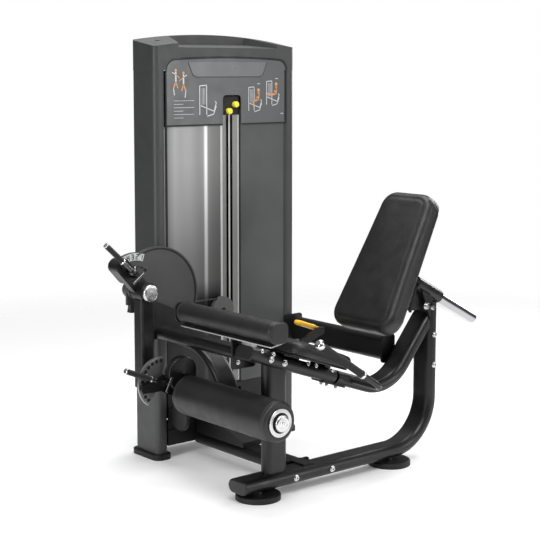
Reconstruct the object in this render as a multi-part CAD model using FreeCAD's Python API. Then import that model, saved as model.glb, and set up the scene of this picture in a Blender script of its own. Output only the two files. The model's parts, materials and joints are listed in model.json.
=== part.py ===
import FreeCAD, Part
import math
import os

# Leg extension machine. Millimetres.
# The dimensions below are laid out from the front foot: +X runs back to the backrest,
# +Y across to the weight tower, +Z up from the floor. Every finished piece is then moved
# by ORIGIN, so that the part's own origin is the floor point under the middle of the machine.
V = FreeCAD.Vector
X_AXIS = V(1, 0, 0)
Y_AXIS = V(0, 1, 0)
Z_AXIS = V(0, 0, 1)
ORIGIN = V(389.6, 267.5, 0)

# ---- frame tube ----
TUBE_W = 100.0
TUBE_H = 50.0
TUBE_WALL = 3.0
RAIL_Z = 58.0
RAIL_FRONT_X = -85.0
COLUMN_X = 839.0
COLUMN_TOP_Z = 612.0
RAIL_BEND_R = 190.0
FOOT_X = (0.0, 650.0)
FOOT_R = 81.0
FOOT_H = 20.0
FRONT_COLUMN_X = 71.0
CROSS_TUBE_X = -26.0

# ---- seat line: tilted up towards the front ----
SEAT_TILT = math.radians(19.3)
SEAT_ALONG = V(math.cos(SEAT_TILT), 0, -math.sin(SEAT_TILT))
SEAT_UP = V(math.sin(SEAT_TILT), 0, math.cos(SEAT_TILT))
SEAT_RAIL_MID = V(170.0, 0, 450.0)
SEAT_RAIL_START = -240.0
SEAT_RAIL_END = 165.0
SEAT_TUBE_CORNER = SEAT_RAIL_MID + SEAT_ALONG * 469.4
SEAT_TUBE_RISE = math.radians(50.0)
SEAT_TUBE_FRONT = 288.0
SEAT_TUBE_BEND_R = 170.0
SEAT_TUBE_REACH = 352.0
SEAT_HALF_W = 165.0
SEAT_START = -150.0
SEAT_LEN = 292.0
SEAT_THICK = 52.0
SEAT_BASE = 36.0
PAN_THICK = 5.0
GRIP_Y = 214.0
GRIP_TOP = V(96.0, 0, 571.0)
GRIP_LOW = V(402.0, 0, 370.0)
GRIP_R = 14.0
GRIP_TUBE_R = 11.0
GRIP_SPAN = (14.0, 238.0)
RELEASE_PIVOT = V(452.0, 0, 518.0)
RELEASE_PIN_R = 5.0

# ---- knee roll and ankle roller ----
KNEE_ROLL = V(-63.0, 0, 626.0)
KNEE_ROLL_R = 38.0
KNEE_ROLL_Y = (-186.0, 350.0)
KNEE_SHELF_TILT = 0.18
ROLLER = V(-62.0, 0, 321.0)
ROLLER_R = 72.5
ROLLER_Y = (-190.0, 334.0)
ROLLER_BORE_R = 15.0
SHAFT_FIT = 0.05

# ---- backrest ----
SLIDE_TILT = math.radians(28.0)
SLIDE_DIR = V(math.cos(SLIDE_TILT), 0, -math.sin(SLIDE_TILT))
SLIDE_UP = V(math.sin(SLIDE_TILT), 0, math.cos(SLIDE_TILT))
SLIDE_MID = V(COLUMN_X, 0, 651.0)
SLEEVE_SPAN = (-92.0, 52.0)
SLEEVE_W = 92.0
SLEEVE_H = 54.0
BAR_W = 78.0
BAR_H = 40.0
BAR_SPAN = (-196.0, 286.0)
GUSSET_Y = 55.0
PAD_LEAN = math.radians(29.4)
PAD_UP = V(math.sin(PAD_LEAN), 0, math.cos(PAD_LEAN))
PAD_BACK = V(math.cos(PAD_LEAN), 0, -math.sin(PAD_LEAN))
PAD_MID = V(631.0, 0, 785.8)
PAD_HALF_LOW = 168.0
PAD_HALF_TOP = 130.0
PAD_H = 568.0
PAD_THICK = 78.0

# ---- weight tower ----
TOWER_X = (-7.0, 686.0)
TOWER_Y = (600.0, 755.0)
UPRIGHT_W = 52.0
UPRIGHT_TOP = 1500.0
BOOT_H = 22.0
CAP_CORNER_Z = 1590.0
CAP_REAR_RISE = 26.0
CAP_CROWN = 24.0
PANEL_Z = (252.0, 1286.0)
PANEL_Y = 606.0
PANEL_THICK = 3.0
PLACARD_TOP = 1543.0
SLOT_X = (318.0, 409.0)
SLOT_TOP = 1403.0
STACK_X = 364.0
STACK_Y = 655.0
PLATE_SIZE = V(270.0, 86.0, 20.0)
PLATE_PITCH = 20.6
PLATE_BASE_Z = 244.0
RESTING_PLATES = 9
LIFTED_PLATES = 5
GUIDE_SPREAD = 44.0
GUIDE_R = 9.5
GUIDE_TOP = 1452.0

# ---- leg lever ----
PIVOT = V(-134.0, 0, 686.0)
AXLE_R = 17.0
CAM_Y = (560.0, 571.0)
CAM_DISC_MID = V(-32.0, 0, 654.0)
CAM_DISC_R = 181.0
CAM_CROWN_R = 141.0
SECTOR_R = 80.0
PIN_CIRCLE_R = 84.0
START_PIN_ANGLE = 131.5
CASTING_ANGLE = 132.4
START_ROOT = PIVOT + V(-64, 0, 84)
START_HANDLE_ANGLE = 137.3
SECTOR_Y = (574.0, 590.0)
SHIN_PIVOT = V(-134.0, 0, 365.0)
SHIN_ARC_R = 80.0
SHIN_AXLE_R = 12.0
SHIN_HANDLE_ANGLE = 157.5
PIN_R = 5.0

# ---- lift cable ----
CABLE_R = 3.0
CABLE_Z = PIVOT.z - SECTOR_R
CABLE_DOWN = V(340.0, 582.0, 0)
CABLE_UP = V(388.0, 734.0, 0)
TURN_PULLEY_R = 45.0
BASE_PULLEY_Z = 132.0
TOP_PULLEY_Z = 1436.0
PULLEY_LIP = 6.0
PULLEY_HALF_W = 9.0
PULLEY_PIN_R = 8.0
BOSS_R = 32.0
KNOB_R = 12.0
KNOB_PLACES = ((384.0, 1366.0), (352.0, 1340.0))


# ---------------------------------------------------------------- helpers
def lift(y, point):
    """The same point in the plane at another Y."""
    return V(point.x, y, point.z)


def polar(centre, radius, degrees):
    """A point in an XZ plane, seen from the front of the lever side."""
    angle = math.radians(degrees)
    return centre + V(radius * math.cos(angle), 0, radius * math.sin(angle))


def cylinder(start, end, radius):
    axis = end - start
    return Part.makeCylinder(radius, axis.Length, start, axis)


def ring(start, end, outer, inner):
    return cylinder(start, end, outer).cut(cylinder(start, end, inner))


def lifted(point, z):
    """The same point in the plan at another height."""
    return V(point.x, point.y, z)


def box(low, high):
    size = high - low
    return Part.makeBox(size.x, size.y, size.z, low)


def rounded_box(low, high, radius, axis):
    """A box with the four edges along one axis rounded."""
    solid = box(low, high)
    edges = [e for e in solid.Edges if abs(e.tangentAt(e.FirstParameter).dot(axis)) > 0.99]
    return solid.makeFillet(radius, edges)


def oval_wire(centre, wide, tall, width, height):
    """A flat-oval outline: two straight sides joined by half circles."""
    r = height / 2
    s = width / 2 - r
    a = centre - wide * s + tall * r
    b = centre + wide * s + tall * r
    c = centre + wide * s - tall * r
    d = centre - wide * s - tall * r
    right = Part.Arc(b, centre + wide * (width / 2), c).toShape()
    left = Part.Arc(d, centre - wide * (width / 2), a).toShape()
    top = Part.LineSegment(a, b).toShape()
    bottom = Part.LineSegment(c, d).toShape()
    return Part.Wire([top, right, bottom, left])


def oval_bar(start, end, wide, width, height):
    axis = end - start
    tall = axis.cross(wide).normalize()
    return Part.Face(oval_wire(start, wide, tall, width, height)).extrude(axis)


def oval_tube(start, end, wide, width, height, wall):
    outer = oval_bar(start, end, wide, width, height)
    inner = oval_bar(start, end, wide, width - 2 * wall, height - 2 * wall)
    return outer.cut(inner)


def rounded_path(points, radii):
    """Straight runs through the points, joined by tangent arcs."""
    edges = []
    last = points[0]
    for before, corner, after, radius in zip(points, points[1:], points[2:], radii):
        back = (before - corner).normalize()
        ahead = (after - corner).normalize()
        half_turn = (math.pi - back.getAngle(ahead)) / 2
        reach = radius * math.tan(half_turn)
        enter = corner + back * reach
        leave = corner + ahead * reach
        bisector = (back + ahead).normalize()
        mid = corner + bisector * (radius / math.cos(half_turn) - radius)
        if (enter - last).Length > 0.01:
            edges.append(Part.LineSegment(last, enter).toShape())
        edges.append(Part.Arc(enter, mid, leave).toShape())
        last = leave
    edges.append(Part.LineSegment(last, points[-1]).toShape())
    return Part.Wire(edges)


def sweep(path, profile):
    return Part.Wire(path).makePipeShell([profile], True, False)


def bent_oval_tube(points, radii, wide, width, height, wall):
    path = rounded_path(points, radii)
    axis = (points[1] - points[0]).normalize()
    tall = axis.cross(wide).normalize()
    outer = sweep(path, oval_wire(points[0], wide, tall, width, height))
    inner = sweep(path, oval_wire(points[0], wide, tall, width - 2 * wall, height - 2 * wall))
    return outer.cut(inner)


def bent_rod(points, radii, radius):
    axis = points[1] - points[0]
    start = Part.Wire([Part.Circle(points[0], axis, radius).toShape()])
    return sweep(rounded_path(points, radii), start)


def plate(outline, y0, y1):
    """A flat plate between two Y planes, from corner points in an XZ plane."""
    points = [lift(y0, p) for p in outline]
    face = Part.Face(Part.makePolygon(points + [points[0]]))
    return face.extrude(V(0, y1 - y0, 0))


def link(first, second, r1, r2, y0, y1):
    """A link plate with round ends, in an XZ plane."""
    span = second - first
    along = V(span.x, 0, span.z).normalize()
    side = V(-along.z, 0, along.x)
    lean = math.asin((r1 - r2) / span.Length)
    up = side * math.cos(lean) + along * math.sin(lean)
    down = side * -math.cos(lean) + along * math.sin(lean)
    body = plate([first + up * r1, second + up * r2, second + down * r2, first + down * r1], y0, y1)
    ends = [cylinder(lift(y0, p), lift(y1, p), r) for p, r in ((first, r1), (second, r2))]
    return body.multiFuse(ends).removeSplitter()


def bolt(face_point, outward, head_r=8.5, head_h=6.0):
    """A socket-head bolt: domed head on a washer."""
    washer = cylinder(face_point, face_point + outward * 1.6, head_r * 1.35)
    head = cylinder(face_point + outward * 1.6, face_point + outward * (1.6 + head_h), head_r)
    rim = [e for e in head.Edges if e.Curve.TypeId == "Part::GeomCircle"]
    far = max(rim, key=lambda e: e.CenterOfMass.dot(outward))
    head = head.makeFillet(head_h * 0.45, [far])
    socket_base = face_point + outward * (head_h * 0.5)
    socket = cylinder(socket_base, face_point + outward * (head_h + 4), head_r * 0.45)
    return washer.fuse(head).cut(socket)


def arc_edge(centre, radius, start, stop):
    angles = (start, (start + stop) / 2, stop)
    return Part.Arc(*[polar(centre, radius, angle) for angle in angles]).toShape()


def annular_sector(centre, inner, outer, start, stop, y0, y1):
    """A flat ring segment in an XZ plane."""
    base = lift(y0, centre)
    outer_arc = arc_edge(base, outer, start, stop)
    inner_arc = arc_edge(base, inner, start, stop)
    first = Part.LineSegment(polar(base, inner, start), polar(base, outer, start)).toShape()
    last = Part.LineSegment(polar(base, inner, stop), polar(base, outer, stop)).toShape()
    wire = Part.Wire(Part.__sortEdges__([outer_arc, last, inner_arc, first]))
    return Part.Face(wire).extrude(V(0, y1 - y0, 0))


def seat_point(along, up, y=0.0):
    """A point measured along and above the tilted seat rail."""
    return SEAT_RAIL_MID + SEAT_ALONG * along + SEAT_UP * up + V(0, y, 0)


def tilted_block(centre, along, up, size, radius, edge_radius):
    """A block on a tilted plane: size is (along, Y, up), with rounded plan corners."""
    block = rounded_box(size * -0.5, size * 0.5, radius, Z_AXIS)
    block = block.makeFillet(edge_radius, [e for e in block.Edges if abs(e.CenterOfMass.z) > size.z * 0.49])
    return placed(block, centre, along, up)


def placed(shape, centre, along, up):
    """Turn a shape so that its X runs along one direction and its Z along another."""
    side = up.cross(along)
    turn = FreeCAD.Matrix(
        along.x, side.x, up.x, centre.x,
        along.y, side.y, up.y, centre.y,
        along.z, side.z, up.z, centre.z,
        0, 0, 0, 1)
    moved = shape.copy()
    moved.Placement = FreeCAD.Placement(turn)
    return moved


def group(solids):
    return Part.makeCompound(solids)


# ---------------------------------------------------------------- frame
def main_frame_tube():
    """Base rail, rear bend and rear column in one length of tube."""
    points = [V(RAIL_FRONT_X, 0, RAIL_Z), V(COLUMN_X, 0, RAIL_Z), V(COLUMN_X, 0, COLUMN_TOP_Z)]
    return bent_oval_tube(points, [RAIL_BEND_R], Y_AXIS, TUBE_W, TUBE_H, TUBE_WALL)


def seat_rail_axis():
    return seat_point(SEAT_RAIL_START, 0), seat_point(SEAT_RAIL_END, 0)


def seat_rail():
    start, end = seat_rail_axis()
    return oval_tube(start, end, Y_AXIS, TUBE_W, TUBE_H, TUBE_WALL)


def seat_tube():
    """The V-shaped tube behind the seat rail, notched round the column, with its saddle plate."""
    front = SEAT_TUBE_CORNER - SEAT_ALONG * SEAT_TUBE_FRONT
    rise = V(math.cos(SEAT_TUBE_RISE), 0, math.sin(SEAT_TUBE_RISE))
    rear = SEAT_TUBE_CORNER + rise * SEAT_TUBE_REACH
    points = [front, SEAT_TUBE_CORNER, rear]
    tube = bent_oval_tube(points, [SEAT_TUBE_BEND_R], Y_AXIS, TUBE_W, TUBE_H, TUBE_WALL)
    column = box(V(COLUMN_X - TUBE_H / 2, -TUBE_W, 0), V(COLUMN_X + 200, TUBE_W, 900))
    saddle = placed(rounded_box(V(-65, -32, -31), V(65, 32, -25), 12, Z_AXIS), front, SEAT_ALONG, SEAT_UP)
    return tube.fuse(saddle).cut(column)


def front_column():
    foot = V(FRONT_COLUMN_X, 0, RAIL_Z + TUBE_H / 2)
    tube = oval_tube(foot, foot + V(0, 0, 460), X_AXIS, TUBE_W, TUBE_H, TUBE_WALL)
    start, end = seat_rail_axis()
    rail = oval_bar(start, end, Y_AXIS, TUBE_W, TUBE_H)
    above = placed(Part.makeBox(900, 400, 400, V(-450, -200, 0)), SEAT_RAIL_MID, SEAT_ALONG, SEAT_UP)
    return tube.cut(rail).cut(above)


def base_cross_tube():
    start = V(222, TUBE_W / 2 + 6, RAIL_Z)
    tube = oval_tube(start, V(222, TOWER_Y[0] + 4, RAIL_Z), X_AXIS, TUBE_W, TUBE_H, TUBE_WALL)
    flange = rounded_box(V(160, TUBE_W / 2, 33), V(284, TUBE_W / 2 + 6, 87), 10, Y_AXIS)
    tab = box(V(196, -20, RAIL_Z + TUBE_H / 2), V(248, TUBE_W / 2 + 6, RAIL_Z + TUBE_H / 2 + 5))
    return tube.fuse(flange).fuse(tab)


def rear_cross_tube():
    start = V(690, TUBE_W / 2 + 8, 436)
    tube = oval_tube(start, V(690, TOWER_Y[0] - 6, 436), Z_AXIS, 98, 48, TUBE_WALL)
    tower_flange = rounded_box(V(632, TOWER_Y[0] - 6, 376), V(726, TOWER_Y[0], 496), 12, Y_AXIS)
    frame_flange = rounded_box(V(655, TUBE_W / 2, 382), V(725, TUBE_W / 2 + 8, 490), 12, Y_AXIS)
    return tube.fuse(tower_flange).fuse(frame_flange)


def cross_tube_ends():
    return V(CROSS_TUBE_X, TUBE_W / 2 + 6, 516), V(CROSS_TUBE_X, 532, 516)


def cross_tube_bar():
    start, end = cross_tube_ends()
    return oval_bar(start, end, X_AXIS, 78, 44)


def pivot_cross_tube():
    """Runs from the front of the seat rail across to the lever pivot plate."""
    start, end = cross_tube_ends()
    return oval_tube(start, end, X_AXIS, 78, 44, TUBE_WALL)


def pivot_plates():
    """Front bearing plate on the cross tube, and rear bearing plate on the tower."""
    bore = cylinder(lift(500, PIVOT), lift(620, PIVOT), AXLE_R + SHAFT_FIT)
    boss = cylinder(lift(532, PIVOT), lift(546, PIVOT), BOSS_R)
    web = plate([PIVOT + V(-28, 0, -14), V(-72, 0, 494), V(30, 0, 494), V(86, 0, 540), V(86, 0, 575),
                 PIVOT + V(20, 0, -22)], 532, 546)
    rear = link(PIVOT, V(14, 0, 700), 30, 24, 592, 600)
    return group([boss.fuse(web).cut(bore), rear.cut(bore)])


def brace_plates():
    """Gusset at the front of the seat rail, and the curved brace under the cross tube."""
    gusset = rounded_box(V(-74, TUBE_W / 2, 462), V(30, TUBE_W / 2 + 6, 572), 12, Y_AXIS)
    return group([gusset, curved_brace()])


def curved_brace():
    """Flat-oval tube from the pivot cross tube, curving down behind the roller to the front column.

    It stops short of the cam, which sweeps past its end when the lever rises.
    """
    x = FRONT_COLUMN_X - 8
    low_y = 236
    points = [V(x, CAM_Y[0] - 8, 478), V(x, low_y, 466), V(x, low_y, 222)]
    tube = bent_oval_tube(points, [228], X_AXIS, 90, 34, TUBE_WALL)
    tie = oval_tube(V(x, TUBE_H / 2, 242), V(x, low_y - 14, 242), X_AXIS, 70, 30, TUBE_WALL)
    inside = box(V(x - 60, low_y - 17, 200), V(x + 60, low_y + 24, 300))
    web = box(V(CROSS_TUBE_X + 30, 508, 478), V(x, 518, 508))
    hollow = oval_bar(V(x, 500, 478), V(x, 530, 478), X_AXIS, 88, 32)
    return tube.fuse(tie.cut(inside)).fuse(web.cut(hollow).cut(cross_tube_bar()))


def oval_cap(face, outward, wide, width, height, depth=7):
    """A domed plastic cap that closes the end of a flat-oval tube."""
    plug = oval_bar(face, face + outward * depth, wide, width, height)
    outer = [e for e in plug.Edges if (e.CenterOfMass - face).dot(outward) > depth * 0.9]
    return plug.makeFillet(depth * 0.6, outer)


def tube_end_caps():
    start, end = seat_rail_axis()
    caps = [
        oval_cap(V(RAIL_FRONT_X, 0, RAIL_Z), V(-1, 0, 0), Y_AXIS, TUBE_W, TUBE_H, 12),
        oval_cap(start, SEAT_ALONG * -1, Y_AXIS, TUBE_W, TUBE_H),
        oval_cap(end, SEAT_ALONG, Y_AXIS, TUBE_W, TUBE_H),
        oval_cap(V(COLUMN_X, 0, COLUMN_TOP_Z), Z_AXIS, Y_AXIS, TUBE_W, TUBE_H, 2)]
    return group(caps)


def foot_pads():
    pads = []
    for x in FOOT_X:
        pad = cylinder(V(x, 0, 0), V(x, 0, FOOT_H), FOOT_R)
        top = [e for e in pad.Edges if e.CenterOfMass.z > FOOT_H - 1]
        pads.append(pad.makeFillet(6, top))
    return group(pads)


def rail_bolts():
    """Chrome foot studs, and the socket bolts that hold the frame together."""
    pieces = [cylinder(V(x, 0, FOOT_H), V(x, 0, RAIL_Z - TUBE_H / 2), 14) for x in FOOT_X]
    near = V(0, -1, 0)
    for x in (135.0, 308.0):
        pieces.append(bolt(V(x, -TUBE_W / 2, RAIL_Z), near))
    for z in (368.0, 486.0):
        pieces.append(bolt(V(COLUMN_X, -TUBE_W / 2, z), near))
    for along in (-160.0, -96.0):
        pieces.append(bolt(seat_point(along, 0, -TUBE_W / 2), near))
    for along in (-205.0, -150.0, 20.0, 60.0, 145.0):
        pieces.append(bolt(seat_point(along, TUBE_H / 2 - 6, -TUBE_W / 2 + 8.7), near, 6.5, 5.0))
    for along in (130.0, 158.0, 205.0):
        pieces.append(bolt(seat_point(along, -TUBE_H / 2 - 6, -18), SEAT_UP * -1, 6.5, 9.0))
    for x, z in ((-50.0, 486.0), (4.0, 550.0)):
        pieces.append(bolt(V(x, TUBE_W / 2 - 0.2, z), near, 6.0, 4.0))
    pieces.append(bolt(V(COLUMN_X - 52, -GUSSET_Y, 604), near, 11.0, 6.0))
    start, end = seat_rail_axis()
    rail = oval_bar(start, end, Y_AXIS, TUBE_W, TUBE_H)
    return group([piece.cut(rail) for piece in pieces])


# ---------------------------------------------------------------- seat
def seat_pan():
    size = V(SEAT_LEN - 24, 2 * SEAT_HALF_W - 24, PAN_THICK)
    centre = seat_point(SEAT_START + SEAT_LEN / 2, SEAT_BASE - PAN_THICK / 2)
    board = tilted_block(centre, SEAT_ALONG, SEAT_UP, size, 40, 1.5)
    for along in (-84.0, 120.0):
        rib_mid = seat_point(along, (TUBE_H / 2 + SEAT_BASE - PAN_THICK) / 2)
        rib_size = V(30, 80, SEAT_BASE - PAN_THICK - TUBE_H / 2)
        rib = placed(Part.makeBox(*rib_size, rib_size * -0.5), rib_mid, SEAT_ALONG, SEAT_UP)
        board = board.fuse(rib)
    return board


def seat_cushion():
    size = V(SEAT_LEN, 2 * SEAT_HALF_W, SEAT_THICK)
    centre = seat_point(SEAT_START + SEAT_LEN / 2, SEAT_BASE + SEAT_THICK / 2)
    return tilted_block(centre, SEAT_ALONG, SEAT_UP, size, 48, 16)


def knee_roll():
    y0, y1 = KNEE_ROLL_Y
    pad = cylinder(lift(y0, KNEE_ROLL), lift(y1, KNEE_ROLL), KNEE_ROLL_R)
    return pad.makeFillet(8, [e for e in pad.Edges if e.Curve.TypeId == "Part::GeomCircle"])


def knee_roll_caps():
    caps = []
    for y, outward in ((KNEE_ROLL_Y[0], -1), (KNEE_ROLL_Y[1], 1)):
        body = rounded_box(V(-36, -36, 0), V(36, 36, 10), 20, Z_AXIS)
        outer = [e for e in body.Edges if e.CenterOfMass.z > 9.5]
        body = body.makeFillet(4, outer)
        caps.append(placed(body, lift(y, KNEE_ROLL), X_AXIS, V(0, outward, 0)))
    return group(caps)


def knee_roll_plate():
    """Light metal shelf under the knee roll, on two stays from the seat rail."""
    low = KNEE_ROLL + V(4, 0, -KNEE_ROLL_R - 4.5)
    length = KNEE_ROLL_Y[1] - KNEE_ROLL_Y[0] - 20
    centre = lift((KNEE_ROLL_Y[0] + KNEE_ROLL_Y[1]) / 2, low)
    shelf_up = V(-math.sin(KNEE_SHELF_TILT), 0, math.cos(KNEE_SHELF_TILT))
    shelf = tilted_block(centre, Y_AXIS, shelf_up, V(length, 58, 5), 8, 1)
    stay_low = V(low.x + 8, -26, 548)
    stay = rounded_box(stay_low, V(low.x + 32, 26, low.z + 4), 4, Y_AXIS)
    start, end = seat_rail_axis()
    return shelf.fuse(stay.cut(oval_bar(start - SEAT_ALONG * 8, end, Y_AXIS, TUBE_W, TUBE_H)))


def grip_axis(side):
    top = lift(GRIP_Y * side, GRIP_TOP)
    low = lift(GRIP_Y * side, GRIP_LOW)
    return top, low, (low - top).normalize()


def grip_tubes():
    tubes = []
    for side in (-1, 1):
        top, low, down = grip_axis(side)
        root = V(low.x + 6, side * (TUBE_W / 2 - 4), low.z + 1)
        rod = bent_rod([top + down * 6, low, root], [42], GRIP_TUBE_R)
        front = SEAT_TUBE_CORNER - SEAT_ALONG * SEAT_TUBE_FRONT
        rod = rod.cut(oval_bar(front, SEAT_TUBE_CORNER, Y_AXIS, TUBE_W, TUBE_H))
        tubes.append(max(rod.Solids, key=lambda s: s.Volume))
    return group(tubes)


def hand_grips():
    sleeves = []
    for side in (-1, 1):
        top, _, down = grip_axis(side)
        sleeves.append(ring(top + down * GRIP_SPAN[0], top + down * GRIP_SPAN[1], GRIP_R, GRIP_TUBE_R))
    return group(sleeves)


def grip_ends():
    """Chrome end knobs and collars on the hand grips."""
    ends = []
    for side in (-1, 1):
        top, _, down = grip_axis(side)
        knob = cylinder(top - down * 12, top + down * 6, 19)
        ends.append(soften_ends(knob, 7))
        ends.append(ring(top + down * 6.2, top + down * GRIP_SPAN[0], GRIP_R + 1, GRIP_TUBE_R))
        collar = top + down * GRIP_SPAN[1]
        ends.append(ring(collar, collar + down * 12, GRIP_R + 1.5, GRIP_TUBE_R))
    return group(ends)


# ---------------------------------------------------------------- backrest
def slide_point(along, up=0.0, y=0.0):
    return SLIDE_MID + SLIDE_DIR * along + SLIDE_UP * up + V(0, y, 0)


def guide_sleeve():
    """Sleeve on the column top, with triangular gussets and the latch bracket."""
    start = slide_point(SLEEVE_SPAN[0])
    end = slide_point(SLEEVE_SPAN[1])
    sleeve = oval_bar(start, end, Y_AXIS, SLEEVE_W + 8, SLEEVE_H)
    bore = oval_bar(start - SLIDE_DIR, end + SLIDE_DIR, Y_AXIS, BAR_W + 0.6, BAR_H + 0.6)
    column = box(V(COLUMN_X - 26, -60, 400), V(COLUMN_X + 26, 60, COLUMN_TOP_Z + 5))
    body = sleeve
    for side in (-1, 1):
        outline = [slide_point(-74, -20), slide_point(-6, -20),
                   V(COLUMN_X - 26, 0, 562), V(COLUMN_X - 34, 0, 562)]
        body = body.fuse(plate(outline, side * (GUSSET_Y - 8), side * GUSSET_Y))
    hanger = plate([slide_point(-92, -20), slide_point(-40, -20), V(COLUMN_X - 60, 0, 590),
                    V(COLUMN_X - 118, 0, 590)], -34, 34)
    saddle = plate([V(COLUMN_X - 26, 0, COLUMN_TOP_Z + 5), V(COLUMN_X + 26, 0, COLUMN_TOP_Z + 5),
                    slide_point(24, 0), slide_point(-24, 0)], -40, 40)
    body = body.fuse(hanger).fuse(saddle)
    return body.cut(bore).cut(column)


def backrest_bar():
    """Chrome slide bar with the pad carrier welded to its front."""
    start = slide_point(BAR_SPAN[0])
    bar = oval_tube(start, slide_point(BAR_SPAN[1]), Y_AXIS, BAR_W, BAR_H, TUBE_WALL)
    back_face = PAD_MID + PAD_BACK * (PAD_THICK / 2)
    carrier = placed(Part.makeBox(200, 120, 6, V(-100, -60, 0)), back_face + PAD_BACK * 12, PAD_UP, PAD_BACK)
    in_front = Part.makeBox(1200, 900, 600, V(-600, -450, -600))
    bar = bar.cut(placed(in_front, back_face + PAD_BACK * 18, PAD_UP, PAD_BACK))
    return bar.fuse(carrier)


def tapered_block(centre, length, half_low, half_top, depth, radius, edge_radius):
    """A padded-back outline, narrower at its top, laid on the backrest's lean."""
    half = length / 2
    corners = [V(-half, -half_low, 0), V(half, -half_top, 0), V(half, half_top, 0), V(-half, half_low, 0)]
    face = Part.Face(Part.makePolygon(corners + corners[:1]))
    block = face.extrude(V(0, 0, depth))
    block.translate(V(0, 0, -depth / 2))
    upright = [e for e in block.Edges if abs(e.tangentAt(e.FirstParameter).z) > 0.99]
    block = block.makeFillet(radius, upright)
    rims = [e for e in block.Edges if abs(e.CenterOfMass.z) > depth * 0.49]
    block = block.makeFillet(edge_radius, rims)
    return placed(block, centre, PAD_UP, PAD_BACK)


def back_board():
    """Board between the pad and its carrier."""
    middle = PAD_MID + PAD_BACK * (PAD_THICK / 2 + 6)
    return tapered_block(middle, PAD_H - 40, PAD_HALF_LOW - 20, PAD_HALF_TOP - 20, 12, 50, 2)


def back_pad():
    return tapered_block(PAD_MID, PAD_H, PAD_HALF_LOW, PAD_HALF_TOP, PAD_THICK, 60, 20)


def release_bracket():
    """Dark bracket on the far side of the seat pan that carries the release lever."""
    foot = seat_point(SEAT_START + SEAT_LEN - 40, SEAT_BASE - PAN_THICK, SEAT_HALF_W - 40)
    arm = plate([foot + V(-30, 0, 0), foot + V(20, 0, 0), RELEASE_PIVOT + V(14, 0, -12),
                 RELEASE_PIVOT + V(14, 0, 12), RELEASE_PIVOT + V(-16, 0, 12)], 168, 184)
    tongue = placed(Part.makeBox(50, 70, 5, V(-30, -50, -5)), lift(168, foot), SEAT_ALONG, SEAT_UP)
    pin = cylinder(lift(184, RELEASE_PIVOT), lift(206, RELEASE_PIVOT), RELEASE_PIN_R)
    return arm.fuse(tongue).fuse(pin)


def release_lever():
    """Short amber blade on a hub that turns on the bracket's pin."""
    reach = SEAT_ALONG * -1
    blade = placed(Part.makeBox(96, 34, 9, V(12, -17, -4)), lift(202, RELEASE_PIVOT), reach, SEAT_UP)
    blade = blade.makeFillet(3.5, blade.Edges)
    hub = cylinder(lift(186, RELEASE_PIVOT), lift(204, RELEASE_PIVOT), 12)
    neck = placed(Part.makeBox(20, 16, 8, V(2, -8, -4)), lift(195, RELEASE_PIVOT), reach, SEAT_UP)
    bore = cylinder(lift(180, RELEASE_PIVOT), lift(210, RELEASE_PIVOT), RELEASE_PIN_R + SHAFT_FIT)
    return blade.fuse(hub).fuse(neck).cut(bore)


# ---------------------------------------------------------------- weight tower
def upright_low(side):
    return TOWER_X[0] if side < 0 else TOWER_X[1] - UPRIGHT_W


def tower_uprights():
    uprights = []
    for side in (-1, 1):
        x = upright_low(side)
        low = V(x, TOWER_Y[0], 8)
        high = V(x + UPRIGHT_W, TOWER_Y[1], UPRIGHT_TOP)
        wall = V(TUBE_WALL, TUBE_WALL, 0)
        outer = rounded_box(low, high, 20, Z_AXIS)
        inner = rounded_box(low + wall, high - wall, 17, Z_AXIS)
        uprights.append(outer.cut(inner))
    return group(uprights)


def tower_boots():
    """Rubber boots that the uprights stand in."""
    boots = []
    for side in (-1, 1):
        x = upright_low(side)
        low = V(x - 14, TOWER_Y[0] - 13, 0)
        high = V(x + UPRIGHT_W + 14, TOWER_Y[1] + 13, BOOT_H)
        boot = rounded_box(low, high, 30, Z_AXIS)
        boot = boot.makeFillet(5, [e for e in boot.Edges if e.CenterOfMass.z > BOOT_H - 1])
        pocket = rounded_box(V(x, TOWER_Y[0], 8), V(x + UPRIGHT_W, TOWER_Y[1], 60), 20, Z_AXIS)
        boots.append(boot.cut(pocket))
    return group(boots)


def cap_section(y, rise, floor_z):
    x0, x1 = TOWER_X
    left = V(x0, y, CAP_CORNER_Z + rise)
    right = V(x1, y, CAP_CORNER_Z + rise)
    crown = V((x0 + x1) / 2, y, CAP_CORNER_Z + rise + CAP_CROWN)
    low_left = V(x0, y, floor_z)
    low_right = V(x1, y, floor_z)
    return Part.Wire([
        Part.LineSegment(low_left, left).toShape(),
        Part.Arc(left, crown, right).toShape(),
        Part.LineSegment(right, low_right).toShape(),
        Part.LineSegment(low_right, low_left).toShape()])


def tower_top_cap():
    """Arched cover with a tray in its top and a fascia that frames the placard."""
    wires = [cap_section(TOWER_Y[0], 0, UPRIGHT_TOP), cap_section(TOWER_Y[1], CAP_REAR_RISE, UPRIGHT_TOP)]
    cap = Part.makeLoft(wires, True, True)
    sides = [e for e in cap.Edges if abs(e.tangentAt(e.FirstParameter).z) > 0.99]
    cap = cap.makeFillet(18, sides)
    x0, x1 = TOWER_X
    hollow = box(V(x0 + 8, TOWER_Y[0] + 8, UPRIGHT_TOP - 1), V(x1 - 8, TOWER_Y[1] - 8, CAP_CORNER_Z - 24))
    hollow = hollow.cut(box(V(96, TOWER_Y[0], 1540), V(610, TOWER_Y[1], 1700)))
    tray_low = [V(104, TOWER_Y[0] - 5, 1586), V(598, TOWER_Y[0] - 5, 1586),
                V(540, TOWER_Y[1] - 12, 1600), V(160, TOWER_Y[1] - 12, 1600)]
    tray_high = [p + V(0, 0, 90) for p in tray_low]
    tray = Part.makeLoft([Part.makePolygon(rim + rim[:1]) for rim in (tray_low, tray_high)], True, True)
    opening = placard_face(2.0).extrude(V(0, 60, 0))
    return cap.cut(hollow).cut(tray).cut(opening)


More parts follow.
